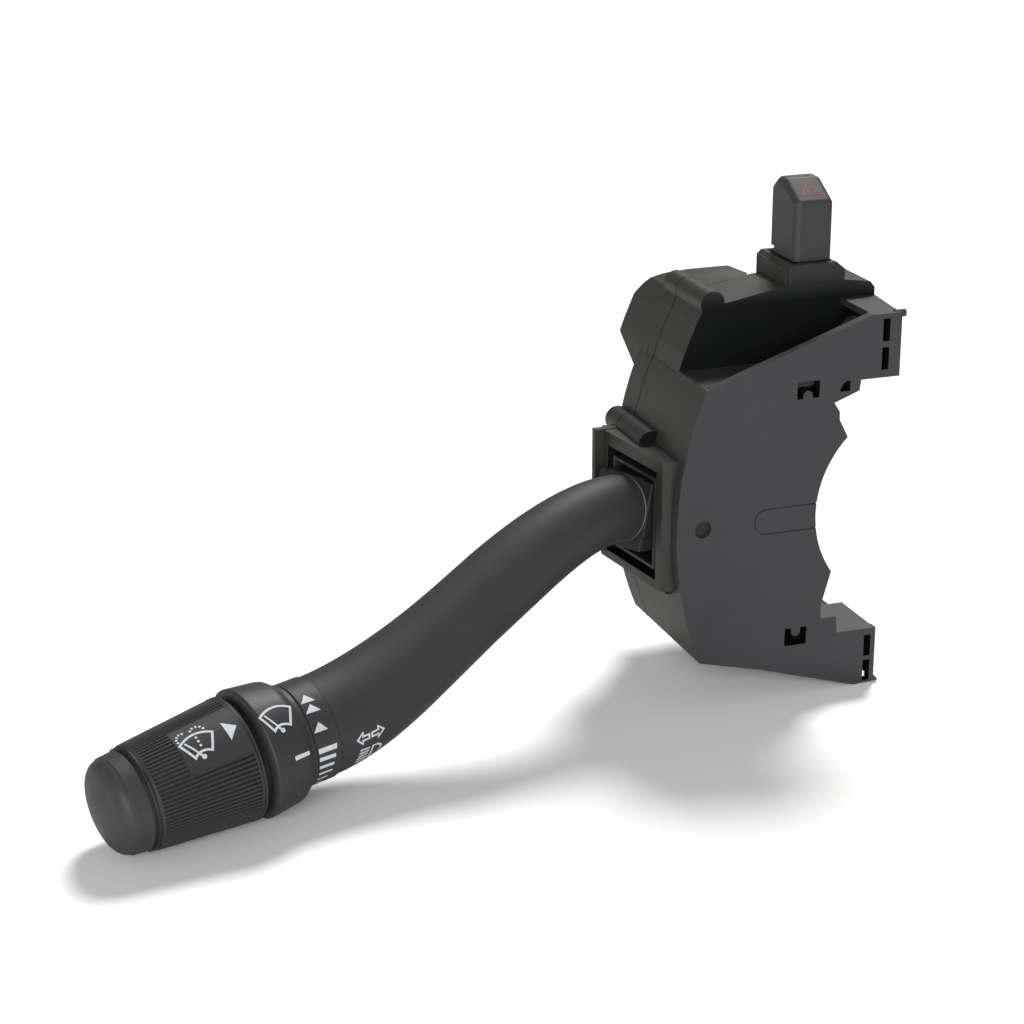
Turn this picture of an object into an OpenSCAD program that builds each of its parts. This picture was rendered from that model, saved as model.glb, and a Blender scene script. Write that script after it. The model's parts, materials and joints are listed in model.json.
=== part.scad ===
// Steering column switch: turn and beam lever, wiper and washer knob, hazard button.
// X runs from the lever's tip to the column, Y away from the driver, Z up.
// The origin is midway between the two mounting holes, on the rear mounting face.
// Inside the modules, places are counted from the plate's front face (y = 0) and
// from a datum line down the plate (x = 0) that lies column_x left of the column.

/* [Front plate] */
// Thickness of the front plate
plate_t = 2.5; // [2:0.1:3]
// Radius of the bulging left edge
back_r = 94; // [85:1:110]
// Datum line to the left edge at its widest
back_x = 38.75; // [37.5:0.25:40]
// Height of the plate's top left corner, also the pocket's floor
shoulder_z = 35.6; // [34.6:0.2:36.6]
// Top edge of the upper ear
ear_top = 50.5; // [49.5:0.5:52]
// Right edge of the upper ear
ear_right = 20.3; // [19.5:0.1:21.5]
// Lowest edge of the plate, under the lower ear
plate_low = 48; // [47.5:0.5:50]
// Right edge of the lower ear
low_ear_right = 17.3; // [16.5:0.1:18.5]
// Top of the lower ear, below the datum height
low_ear_top = 32.7; // [32:0.1:33.5]
// Depth of the lower ear
low_ear_d = 18.3; // [17:0.1:19]
// Wall of the hollow ears
ear_wall = 1.7; // [1.4:0.1:2]
// Width of the slots in the ears
slot_w = 1.9; // [1.5:0.1:2.4]
// Length of the slots in the ears
slot_l = 5.7; // [4.5:0.1:6.2]

/* [Column saddle] */
// Radius of the cut that clears the column
column_r = 27.6; // [26:0.2:28.4]
// Plate's edge in the middle of the cut, from the datum line
saddle_edge = -1.2; // [-2:0.1:-0.6]

/* [Case] */
// Depth of the whole case, plate front to mounting face
case_d = 42.5; // [41:0.5:46]
// Depth of the joint between housing and rear cover
parting_y = 34; // [33.8:0.1:35]
// Depth of the pocket in front of the upper housing
pocket_d = 18; // [17:0.1:18.6]
// Wall of the case
wall = 2.5; // [2:0.1:2.7]
// Top of the hazard button's square tower
tower_top = 59.8; // [58.5:0.1:60.4]
// Depth of the bulge behind the mounting face
bulge_d = 14.5; // [10:0.5:18]
// Radius of the cover screws' bosses
boss_r = 3.2; // [2.9:0.1:3.6]
// Radius of the cover screws' shanks
screw_r = 1.2; // [1:0.1:1.4]

/* [Mounting] */
// Datum line to the mounting holes
mount_x = 16; // [15:0.1:16.4]
// Half the spacing of the mounting holes
mount_half = 42; // [41.5:0.25:43]
// Radius of a mounting hole
mount_r = 2.2; // [2:0.1:2.3]
// Wall of the steel mounting bush
bush_wall = 1; // [0.8:0.1:1.2]

/* [Lever socket] */
// Height of the socket's opening
socket_h = 28.3; // [27.6:0.1:29]
// Wall of the socket frame
socket_wall = 2.8; // [2.2:0.1:3]
// How far the frame's front edge stands out of the case
socket_out = 2.4; // [2:0.1:3.5]
// How far its rear edge stands out
socket_out_rear = 6.4; // [5:0.1:7]

/* [Lever joints] */
// Datum line to the turn pivot
pivot_in = 31.8; // [31.4:0.1:32.2]
// Radius of the turn pivot's journals
journal_r = 2.15; // [1.9:0.05:2.4]
// Radius of the beam pin
beam_r = 1.6; // [1.4:0.05:1.8]
// Running clearance of journals, pins and shafts, on the radius
run_gap = 0.05; // [0.03:0.01:0.08]
// Gap kept between parts that pass each other
gap = 0.3; // [0.25:0.05:0.4]
// Wall of the moving carrier
carrier_wall = 1.8; // [1.6:0.1:2]

/* [Stalk] */
// Radius at the root
root_r = 8.5; // [8:0.1:8.9]
// Radius at the middle of the bend
waist_r = 9.9; // [9:0.1:10.8]
// Radius where it meets the marked band
neck_r = 12.1; // [11.5:0.1:12.4]
// Wall of the hollow stalk
stalk_wall = 2.2; // [1.8:0.1:2.6]
// Knob's turn towards the driver, in degrees
knob_yaw = 16.3; // [14:0.1:18]
// Knob's droop below level, in degrees
knob_drop = 5.8; // [4.5:0.1:7]

/* [Wiper and washer knob] */
// Length of the marked band that stands still
band_l = 6.5; // [6:0.1:8]
// Radius of the marked band
band_r = 12.4; // [12.1:0.1:12.6]
// Largest radius of the turning collar
collar_r = 15.7; // [15.3:0.1:16.2]
// Length of the turning collar
collar_l = 12; // [11.4:0.1:13]
// Radius of the grip at its thick end
grip_r = 14.9; // [14.5:0.1:15.2]
// Radius of the grip at its thin end
grip_tip_r = 12.4; // [12:0.1:12.8]
// Length of the grip
grip_l = 26.4; // [24:0.2:28]
// Number of ribs that would go once round the grip
rib_count = 84; // [60:2:100]
// Depth of the ribs
rib_h = 0.35; // [0.2:0.05:0.45]
// Length of the domed tip
tip_l = 8.8; // [8:0.2:11]
// Push of the washer knob
washer_travel = 1.9; // [1.4:0.1:2.4]
// Radius of the spindle that the collar turns on
spindle_r = 6; // [5.6:0.1:6.3]
// Radius of the washer push rod
rod_r = 2.4; // [2:0.1:2.8]

/* [Hazard button] */
// Width of the hazard button
button_w = 10.6; // [9.8:0.1:11]
// Depth of the hazard button, front to rear
button_d = 15; // [13.8:0.1:15.4]
// Height of the hazard button's front face
button_h = 15.8; // [14.4:0.2:17]
// Travel of the hazard button
button_travel = 5; // [3.5:0.1:5.2]

/* [Hidden] */
$fn = 64;

plastic = "#3d3e3f";
plastic_side = "#3a3936";
inner_black = "#161616";
steel = "#b4b6b8";
brass = "#b8974f";

// Outlines, in X and Z, with the corners clockwise from the top left

// Front plate, seen by the driver
plate_points = [
    [-31, shoulder_z], [8.8, 49.3], [12.2, ear_top], [ear_right, ear_top],
    [ear_right, 34.2], [9.8, 34.2], [9.5, 31.5], [2.75, 29], [4.3, 26.6],
    [4.4, 24.5], [6.8, 19.8], [20, 10], [20, -8], [3.8, -15.7], [1.3, -24.6],
    [1.4, -28.1], [5.75, -28.2], [6.2, -low_ear_top], [low_ear_right, -low_ear_top],
    [low_ear_right, 2 - plate_low], [low_ear_right + 1.5, 0.4 - plate_low],
    [11.7, -plate_low], [-14.9, -40], [-32.5, -35.6], [-60, -35.6], [-60, shoulder_z]
];
// Case below the pocket's floor, as deep as the lower ear
front_points = [
    [-60, shoulder_z], [9.6, shoulder_z], [9.5, 31.5], [2.75, 29], [4.3, 26.6],
    [4.4, 24.5], [6.8, 19.8], [20, 10], [20, -8], [3.8, -15.7], [1.3, -24.6],
    [1.4, -low_ear_top], [low_ear_right - 0.4, -low_ear_top],
    [low_ear_right - 0.4, 2.4 - plate_low], [11.7, 0.2 - plate_low], [-14.9, -39.8],
    [-32.5, -35.6], [-60, -35.6]
];
// Case behind the pocket and the ears
case_points = [
    [-60, shoulder_z - 0.7], [-31.6, shoulder_z - 0.6], [-30.1, 39.7], [-26.8, 47.5],
    [-25.4, 50.4], [-19.4, 51.9], [-10.75, 53.4], [-4.8, 54.4], [14, 55], [20.6, 53.9],
    [21.8, 52.4], [21.8, 36], [9.5, 31.5], [2.75, 29], [4.3, 26.6], [4.4, 24.5],
    [6.8, 19.8], [20, 10], [20, -8], [3.8, -15.7], [1.3, -24.6], [1.4, -33.2],
    [mount_x - 3, 5.3 - mount_half], [mount_x - 3, -4.4 - mount_half],
    [11, 0.4 - plate_low], [-14.9, -39.8], [-32.5, -35.6], [-60, -35.6]
];
// Rear cover: lower at the top right than the housing in front of it
cover_points = [
    [-60, shoulder_z - 0.7], [-31.6, shoulder_z - 0.6], [-30.1, 39.7], [-26.8, 47.5],
    [-25.4, 50.4], [-19.4, 51.9], [-10.75, 53.4], [-5, 53.6], [-3, 50.8], [20.6, 50.4],
    [20.6, 36], [9.5, 31.5], [2.75, 29], [4.3, 26.6], [4.4, 24.5],
    [6.8, 19.8], [20, 10], [20, -8], [3.8, -15.7], [1.3, -24.6], [1.4, -33.2],
    [mount_x - 3, 5.3 - mount_half], [mount_x - 3, -4.4 - mount_half],
    [11, 0.4 - plate_low], [-14.9, -39.8], [-32.5, -35.6], [-60, -35.6]
];
// Space for the mechanism, before it is moved in by the wall
room_points = [
    [-60, shoulder_z - 0.7], [-31.6, shoulder_z - 0.6], [-26.8, 47], [-19.4, 51.4],
    [-4.8, 53.6], [-4.8, 50.6], [11.5, 50.6], [11.5, 32], [2.6, 28.8], [3.4, 24.5],
    [20, 10], [20, -8], [3.2, -16.5], [1.2, -24.6], [1.2, -35], [-14.9, -39.8],
    [-32.5, -35.6], [-60, -35.6]
];
front_room_points = [
    [-60, shoulder_z], [9, shoulder_z], [9, 31], [2.6, 28.8], [3.4, 24.5], [20, 10],
    [20, -8], [3.2, -16.5], [1.2, -24.6], [1.2, -35], [-14.9, -39.8],
    [-32.5, -35.6], [-60, -35.6]
];

// Places that several parts share
board_t = 2;                               // thickness of the contact board
board_y = parting_y - board_t;             // its front face
pivot_x = -pivot_in;                       // turn pivot, along Y at height 0
core_y = 20;                               // depth of the lever's core at the pivots
saddle_z = 0.3;                            // height of the column's axis
column_x = saddle_edge + column_r;         // datum line to the column's axis
bush_r = mount_r + bush_wall;
bush_boss_r = bush_r + 1.6;
ear_screw_up = 6.3;                        // upper ear's cover screw, above its mount
// Cover screws: place, and depth at which the boss starts
screws = [
    [-22.6, 51.9, pocket_d], [-38.3, 17.4, pocket_d + 0.6], [-29.6, -30.4, 6],
    [mount_x + 0.9, saddle_z + mount_half + ear_screw_up, pocket_d + 2], [-1.6, -33, 6]
];

// Lever socket
socket_z = -0.3;                           // height of the opening's middle
frame_z = 0.3;                             // height of the frame's middle
socket_front = 6.9;                        // depth range of the opening
socket_rear = 31.2;

// Hazard button
button_x = 5.6;                            // its middle
button_y = 20.3;                           // its front face
button_z = 59.9;                           // its lower edge at rest
well_gap = 0.35;                           // play of the button in its well
tower_x = [-2.15, 13.35];
tower_y = [pocket_d, 37];
well_floor = button_z - button_travel - 2.4;
stem_w = 4.4;
stem_y = [24.1, 30.9];
stem_low = 46;
shelf_z = 36;

// Outline drawn in X and Z, given a depth from y0 to y1
module slab(y0, y1) {
    translate([0, y1, 0]) rotate([90, 0, 0]) linear_extrude(y1 - y0) children();
}

// Profile drawn in Y and Z, given a width from x0 to x1
module slice(x0, x1) {
    translate([x0, 0, 0]) rotate([90, 0, 90]) linear_extrude(x1 - x0) children();
}

// Round bars along X, Y and Z
module bar_x(y, z, x0, x1, r) {
    translate([x0, y, z]) rotate([0, 90, 0]) cylinder(r = r, h = x1 - x0);
}
module bar(x, z, y0, y1, r) {
    translate([x, y1, z]) rotate([90, 0, 0]) cylinder(r = r, h = y1 - y0);
}
module bar_z(x, y, z0, z1, r) {
    translate([x, y, z0]) cylinder(r = r, h = z1 - z0);
}

// Box between two corners
module block(low, high) {
    translate(low) cube(high - low);
}

// Whole part moved so that the origin lies on the mounting face
module seat() {
    translate([-mount_x, -case_d, -saddle_z]) children();
}

function unit(v) = v / norm(v);
function right_of(v) = [v[1], -v[0]];
function cross2(a, b) = a[0] * b[1] - a[1] * b[0];

// Corner i of a clockwise outline, moved inwards by d from both its edges
function inner_corner(p, i, d) =
    let(n = len(p), a = p[(i + n - 1) % n], b = p[i], c = p[(i + 1) % n],
        u = unit(b - a), v = unit(c - b), s = cross2(u, v),
        from_a = b + d * right_of(u), from_c = b + d * right_of(v))
    abs(s) < 0.01 ? from_a : from_a + u * cross2(from_c - from_a, v) / s;
function inset(p, d) = [for (i = [0:len(p) - 1]) inner_corner(p, i, d)];

// Outline held inside the bulging back and outside the column saddle; a tall one
// also has the upper part, which stands clear of the bulging back
module bounded(points, d = 0, tall = false) {
    difference() {
        intersection() {
            polygon(d == 0 ? points : inset(points, d));
            union() {
                translate([back_r - back_x, -0.5]) circle(r = back_r - d, $fn = 180);
                if (tall) translate([-40, shoulder_z - 0.6 - d]) square([80, 40]);
            }
        }
        translate([column_x, saddle_z]) circle(r = column_r + d, $fn = 120);
    }
}

// Space inside the walls, less the screw bosses that stand in it
module room(points, tall = false) {
    difference() {
        bounded(points, wall, tall);
        for (s = screws) translate([s[0], s[1]]) circle(r = boss_r);
    }
}

// Local frame on the knob's axis: z runs to the tip, 0 at the grip's thick end
knob_at = [-155.2, -19.3, -33.1];
knob_dir = [-cos(knob_drop) * cos(knob_yaw), -cos(knob_drop) * sin(knob_yaw), -sin(knob_drop)];
module on_knob() {
    translate(knob_at) rotate([0, 90 + knob_drop, 180 + knob_yaw]) children();
}

// Distances along the knob's axis, towards the column, from the grip's thick end
collar_front = washer_travel + gap;
collar_back = collar_front + collar_l;
web_back = collar_front + 4.3;             // the collar's own bearing web
band_front = collar_back + gap;
band_back = band_front + band_l;
disc_t = 1.2;
spindle_front = -7;
sleeve_r = 13.2;
groove_at = collar_front + 2.2;            // detent groove round the spindle
ball_r = 1.4;
ball_at = spindle_r + 1.1;                 // radius at which the ball sits

// Lathe shape round the knob's axis from [distance, radius] corners
module turned_shape(profile) {
    on_knob() rotate_extrude($fn = 96) polygon([for (p = profile) [p[1], -p[0]]]);
}

// Disc or ring round the knob's axis
module knob_ring(k0, k1, r_out, r_in = 0) {
    on_knob() translate([0, 0, -k1]) difference() {
        cylinder(r = r_out, h = k1 - k0, $fn = 96);
        if (r_in > 0) translate([0, 0, -1]) cylinder(r = r_in, h = k1 - k0 + 2, $fn = 96);
    }
}

// Centre line of the stalk: one cubic curve from the socket to the marked band
root_at = [-46.5, 18.2, 1.5];
root_yaw = 24.7;
root_rise = 10.4;
root_dir = [-cos(root_rise) * cos(root_yaw), -cos(root_rise) * sin(root_yaw), sin(root_rise)];
band_at = knob_at - band_back * knob_dir;
stalk_pull = 30;
bend = [root_at, root_at + stalk_pull * root_dir, band_at - stalk_pull * knob_dir, band_at];
function along(t) = pow(1 - t, 3) * bend[0] + 3 * pow(1 - t, 2) * t * bend[1]
    + 3 * (1 - t) * t * t * bend[2] + pow(t, 3) * bend[3];
function heading(t) = unit(pow(1 - t, 2) * (bend[1] - bend[0])
    + 2 * (1 - t) * t * (bend[2] - bend[1]) + t * t * (bend[3] - bend[2]));
function ease(s) = (1 - cos(180 * s)) / 2;
function stalk_r(t) = t < 0.5
    ? root_r + (waist_r - root_r) * ease(2 * t)
    : waist_r + (neck_r - waist_r) * ease(2 * t - 1);
function stalk_ring(t, r, sides) =
    let(c = along(t), h = heading(t), s = unit(cross(h, [0, 0, 1])), u = cross(s, h))
    [for (i = [0:sides - 1]) c + r * (cos(i * 360 / sides) * s + sin(i * 360 / sides) * u)];

// Bar swept along the stalk's centre line from t0 to t1, its radius less by inwards
module swept(t0, t1, rings, sides, inwards) {
    at = [for (j = [0:rings]) t0 + (t1 - t0) * j / rings];
    points = [for (t = at) each stalk_ring(t, stalk_r(t) - inwards, sides)];
    walls = [for (j = [0:rings - 1], i = [0:sides - 1])
        let(a = j * sides + i, b = j * sides + (i + 1) % sides)
        each [[a, b, b + sides], [a, b + sides, a + sides]]];
    near_cap = [for (i = [sides - 1:-1:0]) i];
    far_cap = [for (i = [0:sides - 1]) rings * sides + i];
    polyhedron(points = points, faces = concat(walls, [near_cap, far_cap]), convexity = 4);
}

// Local frame at the stalk's root: z runs out along the stalk
module at_root() {
    translate(root_at) rotate([0, -90 + root_rise, root_yaw]) children();
}

// Coil spring of closed turns joined by a thin back wire, standing on z = 0
module coil(r, wire, height, turns) {
    rise = (height - 2 * wire) / turns;
    for (i = [0:turns]) translate([0, 0, wire + i * rise])
        rotate_extrude($fn = 24) translate([r, 0]) circle(r = wire, $fn = 13);
    block([r - wire * 0.5, -wire * 0.5, wire], [r + wire * 0.5, wire * 0.5, height - wire]);
}

// Case

module ear_slots(x, tops) {
    for (z = tops) block([x, -1, z - slot_l], [x + slot_w, plate_t + 1, z]);
}

// Window of a snap hook, with a round-ended tongue left standing in it
module latch_window(x, z_low, z_high, tongue_x, tongue_foot) {
    middle = (z_low + z_high) / 2;
    slab(-1, plate_t + 1) difference() {
        translate([x, z_low]) square([6, z_high - z_low]);
        translate([tongue_x, middle]) circle(r = 1.3);
        translate([tongue_x - 1.3, min(middle, tongue_foot)])
            square([2.6, abs(middle - tongue_foot)]);
    }
}

module hazard_tower() {
    slab(tower_y[0], tower_y[1]) polygon([
        [tower_x[0], 51.3], [tower_x[0], tower_top - 1.2], [tower_x[0] + 1.2, tower_top],
        [tower_x[1] - 2.4, tower_top], [tower_x[1], tower_top - 2], [tower_x[1], 51.3]]);
}

module hazard_well() {
    half = button_w / 2 + well_gap;
    block([button_x - half, button_y - well_gap, well_floor],
        [button_x + half, button_y + button_d + well_gap, tower_top + 1]);
    block([button_x - stem_w / 2 - gap, stem_y[0] - gap, 45],
        [button_x + stem_w / 2 + gap, stem_y[1] + gap, well_floor + 1]);
}

// Outline of the tab marked on the plate beside the saddle
module saddle_tab(d) {
    translate([-14.6, 0.05]) circle(r = 3.45 - d);
    translate([-14.6, 0.05 - 3.45 + d]) square([14.2, 2 * (3.45 - d)]);
}

// Hollow box of the upper ear, flared to the case behind it
module upper_ear() {
    difference() {
        translate([0, 0, 34.2]) linear_extrude(ear_top - 34.2)
            polygon([[12.4, 0], [ear_right, 0], [ear_right, 5], [21.8, pocket_d],
                [21.8, pocket_d + 0.5], [12.4, pocket_d + 0.5]]);
        block([11, plate_t, 34.2 + ear_wall], [ear_right - ear_wall, pocket_d, ear_top - ear_wall]);
    }
    bar_x(1.4, ear_top - 0.6, ear_right - 1.5, ear_right + 1.4, 1);
}

module front_housing() {
    mounts = [saddle_z + mount_half, saddle_z - mount_half];
    color(plastic) seat() difference() {
        union() {
            slab(0, plate_t) bounded(plate_points);
            slab(0, low_ear_d) bounded(front_points);
            slab(low_ear_d - 0.5, parting_y) bounded(case_points, 0, true);
            slab(pocket_d, low_ear_d) difference() {
                bounded(case_points, 0, true);
                translate([-60, -60]) square([120, 60 + shoulder_z - 1]);
            }
            upper_ear();
            for (s = screws) bar(s[0], s[1], s[2], parting_y, boss_r);
            bar(mount_x, mounts[1], low_ear_d - ear_wall - 1, parting_y, bush_boss_r);
            bar(mount_x, mounts[0], pocket_d, parting_y, bush_boss_r);
            hazard_tower();
        }
        slab(plate_t, low_ear_d) room(front_room_points);
        slab(low_ear_d - 1, parting_y + 1) room(front_room_points);
        slab(pocket_d + wall, parting_y + 1) room(room_points, true);
        // lower ear: hollow behind the slots, open to the rear beside the boss
        slab(plate_t, low_ear_d - ear_wall - 1) polygon([
            [4.2, -low_ear_top - ear_wall], [low_ear_right - 1.3, -low_ear_top - ear_wall],
            [low_ear_right - 1.3, 1.9 - plate_low], [11.5, 1.9 - plate_low],
            [4.2, 4.2 - plate_low]]);
        slab(plate_t, low_ear_d + 1) polygon([
            [4.2, -low_ear_top - ear_wall], [10.6, -low_ear_top - ear_wall],
            [10.6, 2.2 - plate_low], [4.2, 4.2 - plate_low]]);
        ear_slots(15.2, [49.2, 41.9]);
        ear_slots(14.1, [-34.6, -41.5]);
        latch_window(-7.5, 30.9, 35.3, -4.6, 30.9);
        latch_window(-8.5, -34.4, -29.7, -5.5, -29.7);
        // quarter-round window beside the upper ear
        slab(-1, plate_t + 1) intersection() {
            translate([6.85, 31.7]) circle(r = 2.7);
            translate([3.85, 31.7]) square([3, 3]);
        }
        // groove round the tab beside the saddle
        slab(-1, 0.35) difference() {
            saddle_tab(0);
            saddle_tab(0.4);
        }
        bar(pivot_x, 0, -1, plate_t + 1, journal_r + run_gap);
        for (z = mounts) bar(mount_x, z, 12, parting_y + 1, bush_r);
        for (s = screws) bar(s[0], s[1], s[2] + 5, parting_y + 1, screw_r);
        block([-60, socket_front, socket_z - socket_h / 2],
            [-34, socket_rear, socket_z + socket_h / 2]);
        // window of the cancelling pawl in the saddle
        block([-6, 21.6, -6.5], [4, 30.4, 6.5]);
        hazard_well();
    }
    // shelf that carries the hazard spring, and rib under it: both stop the board
    color(plastic) seat() {
        block([-7.4, pocket_d + wall - 0.5, shelf_z - 2], [9.2, board_y, shelf_z]);
        block([-22, pocket_d, -36.6], [-20, board_y, -32]);
        block([-22, pocket_d, 31.5], [-20, board_y, 34]);
    }
}

module rear_cover() {
    inner = case_d - 2;
    mounts = [saddle_z + mount_half, saddle_z - mount_half];
    color(plastic_side) seat() {
        difference() {
            union() {
                slab(parting_y, case_d) bounded(cover_points, 0, true);
                for (s = screws) bar(s[0], s[1], parting_y, case_d - 1, boss_r);
                for (z = mounts) bar(mount_x, z, parting_y, case_d, bush_boss_r);
                cover_bulge(0);
            }
            slab(parting_y - 1, inner) room(room_points, true);
            cover_bulge(2);
            for (z = mounts) bar(mount_x, z, parting_y - 1, case_d + 1, bush_r);
            for (s = screws) bar(s[0], s[1], parting_y - 1, case_d + 1, screw_r + 0.2);
            for (s = screws) bar(s[0], s[1], case_d - 3.4, case_d + 1, screw_r * 2.2);
            // slots that the connectors' blades pass through
            for (c = [[main_at, main_size], [wiper_at, wiper_size]])
                block([c[0][0] + 1.5, inner - 1, c[0][1] + 1.5],
                    [c[0][0] + c[1][0] - 1.5, case_d + 1, c[0][1] + c[1][2] - 1.5]);
        }
        // posts that press the board against the housing
        for (p = [[-22, 29.5], [-3, 22], [-21, -31]]) bar(p[0], p[1], parting_y, inner + 0.5, 1.5);
    }
}

// Rounded box at the cover's top left; d moves its walls inwards
module cover_bulge(d) {
    back = case_d + bulge_d - d;
    intersection() {
        slab(case_d - 4, case_d + bulge_d) polygon(inset([
            [-33.2, 29], [-31.6, shoulder_z], [-30.1, 39.7], [-27.4, 46], [-24, 50.2],
            [-19.4, 51.9], [-10.75, 53.2], [-4, 53.4], [-4, 29]], max(d, 0.001)));
        slice(-40, 0) polygon([
            [case_d - 4, 30 + d], [case_d, 30 + d], [back, 36 + d], [back, 45.5 - d],
            [back - 1.2, 48.6 - d], [back - 3.6, 51.2 - d], [back - 6.5, 52.6 - d],
            [case_d - 4, 53.4 - d]]);
    }
}

module socket_frame() {
    half = socket_h / 2;
    x_front = -back_x - socket_out;
    x_rear = -back_x - socket_out_rear;
    front = socket_front - socket_wall;
    rear = socket_rear + socket_wall;
    color(plastic) seat() difference() {
        translate([0, 0, frame_z - half - socket_wall])
            linear_extrude(2 * half + 2 * socket_wall)
                polygon([[x_front, front], [x_rear, rear], [x_rear + 1, rear + 3],
                    [-36, rear + 3], [-36, front - 0.6], [x_front + 2, front - 0.6]]);
        block([-60, socket_front, socket_z - half], [-30, socket_rear, socket_z + half]);
        slab(-1, rear + 4) translate([back_r - back_x, -0.5])
            circle(r = back_r + 0.02, $fn = 180);
        for (s = screws) bar(s[0], s[1], s[2], rear + 4, boss_r + 0.02);
    }
}

module mount_bushes() {
    color(steel) seat() for (side = [1, -1]) difference() {
        bar(mount_x, saddle_z + side * mount_half, side > 0 ? pocket_d - 0.6
            : low_ear_d - ear_wall - 1.4, case_d, bush_r);
        bar(mount_x, saddle_z + side * mount_half, 10, case_d + 1, mount_r);
    }
}

module cover_screws() {
    color(steel) seat() for (s = screws) {
        bar(s[0], s[1], s[2] + 6, case_d - 3.4, screw_r);
        difference() {
            bar(s[0], s[1], case_d - 3.4, case_d - 1.4, screw_r * 2.1);
            bar(s[0], s[1], case_d - 2.4, case_d, screw_r * 0.8, $fn = 6);
        }
    }
}

module contact_board() {
    color("#6b5a3a") seat() difference() {
        union() {
            slab(board_y, parting_y) bounded(front_room_points, wall + gap);
            slab(board_y, parting_y) polygon([[-6, 30], [-0.6, 30], [-0.6, shoulder_z - 1.2],
                [8.7, shoulder_z - 1.2], [8.7, 46], [-6, 46]]);
            bar(pawl_x, 0, board_y - 2, board_y, 3);
        }
        block([1, board_y - 1, 30], [9.5, parting_y + 1, shoulder_z - 1.3]);
        bar(pivot_x, 0, board_y - 1, parting_y + 1, journal_r + run_gap);
        bar(pawl_x, 0, board_y - 3, parting_y + 1, pawl_pin_r);
        for (s = screws) bar(s[0], s[1], board_y - 1, parting_y + 1, boss_r + gap);
    }
}

track_t = 0.25;
module contact_tracks() {
    color(brass) seat() {
        for (r = [10, 13, 16]) slab(board_y - track_t, board_y) translate([pivot_x, 0])
            intersection() {
                difference() {
                    circle(r = r + 0.8);
                    circle(r = r - 0.8);
                }
                translate([0, -9]) square([30, 18]);
            }
        for (x = [-3.2, 0.8]) block([button_x + x, board_y - track_t, stem_low - 9],
            [button_x + x + 1.8, board_y, stem_low - 4]);
    }
}

plunger_y = 12;
plunger_r = 1.7;
plunger_tip = -8.9;
track_x = [-10.5, -3.8];                   // the detent track's block
track_y = [6.5, 17.5];
track_half = 9.5;
module detent_track() {
    reach = plunger_tip - pivot_x;
    color("#d8d4c8") seat() difference() {
        block([track_x[0], track_y[0], -track_half], [track_x[1], track_y[1], track_half]);
        bar(pivot_x, 0, track_y[0] - 1.5, track_y[1] + 1.5, reach + gap);
        for (a = [-8, 0, 8]) translate([pivot_x, 0, 0]) rotate([0, -a, 0])
            bar(reach - plunger_r, 0, track_y[0] - 1.5, track_y[1] + 1.5, plunger_r + gap * 2);
        slab(track_y[0] - 1.5, track_y[1] + 1.5)
            translate([column_x, saddle_z]) circle(r = column_r + wall, $fn = 120);
    }
}

// Connector shrouds behind the cover: low corner in X and Z, then size
main_size = [25, 11.5, 13];
wiper_size = [20, 11.5, 12];
main_at = [column_x - column_r - 1.8 - main_size[0], -6];
wiper_at = [main_at[0], -28];
shroud_wall = 1.4;

module connector_shell(at, size) {
    low = [at[0], case_d, at[1]];
    difference() {
        translate(low) cube(size);
        translate(low + [shroud_wall, 1.6, shroud_wall])
            cube([size[0] - 2 * shroud_wall, size[1], size[2] - 2 * shroud_wall]);
        translate(low + [size[0] / 2 - 2, 6, size[2] - shroud_wall - 1]) cube([4, 10, 4]);
    }
}

// Two rows of blades that stand on the board
module blades(at, size, columns) {
    pitch = (size[0] - 6) / (columns - 1);
    for (i = [0:columns - 1], z = [0.28, 0.72])
        block([at[0] + 3 + i * pitch - 0.9, parting_y, at[1] + size[2] * z - 0.35],
            [at[0] + 3 + i * pitch + 0.9, case_d + size[1] - 3, at[1] + size[2] * z + 0.35]);
}

module main_connector() {
    color(inner_black) seat() difference() {
        connector_shell(main_at, main_size);
        blades(main_at, main_size, 7);
    }
}

module main_pins() {
    color(brass) seat() blades(main_at, main_size, 7);
}

module wiper_connector() {
    color(inner_black) seat() difference() {
        connector_shell(wiper_at, wiper_size);
        blades(wiper_at, wiper_size, 5);
    }
}

module wiper_pins() {
    color(brass) seat() blades(wiper_at, wiper_size, 5);
}

// Cancelling pawl

pawl_x = -8.5;
pawl_pin_r = 1.2;
pawl_y = [23, 28.4];
module cancel_pawl() {
    color("#d8d4c8") seat() difference() {
        union() {
            bar(pawl_x, 0, pawl_y[0], pawl_y[1], 2.7);
            slab(pawl_y[0], pawl_y[1]) polygon([
                [pawl_x, 2.4], [-1.5, 1.5], [1.4, 0.6], [1.4, -0.6], [-1.5, -1.5],
                [pawl_x, -2.4]]);
        }
        bar(pawl_x, 0, pawl_y[0] - 1, pawl_y[1] + 1, pawl_pin_r + run_gap);
    }
}

module pawl_pin() {
    color(steel) seat() {
        bar(pawl_x, 0, pawl_y[0] - 1, parting_y, pawl_pin_r);
        bar(pawl_x, 0, pawl_y[0] - 1.8, pawl_y[0] - gap, pawl_pin_r + 0.9);
    }
}

module pawl_spring() {
    color(steel) seat() {
        difference() {
            bar(pawl_x, 0, pawl_y[1] + gap, board_y - 2, 2.3);
            bar(pawl_x, 0, pawl_y[1], board_y, pawl_pin_r + 0.2);
        }
        for (x = [-1.9, 1.9]) bar_z(pawl_x + x, board_y - 2.6, 0.5, 6, 0.35);
    }
}

// Turn carrier: a box open to the lever, hung on two journals

arm_front = [4, 6.6];
arm_rear = [28.6, 31];
box_x = [-27.5, -13];
box_half = 10;
core_half = [5.4, 7.4];                    // half width and half height of the core

module carrier_arm() {
    translate([pivot_x, 0]) circle(r = 4);
    polygon([[pivot_x, 4], [-26, box_half], [box_x[1], box_half], [box_x[1], -box_half],
        [-26, -box_half], [pivot_x, -4]]);
}

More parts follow.
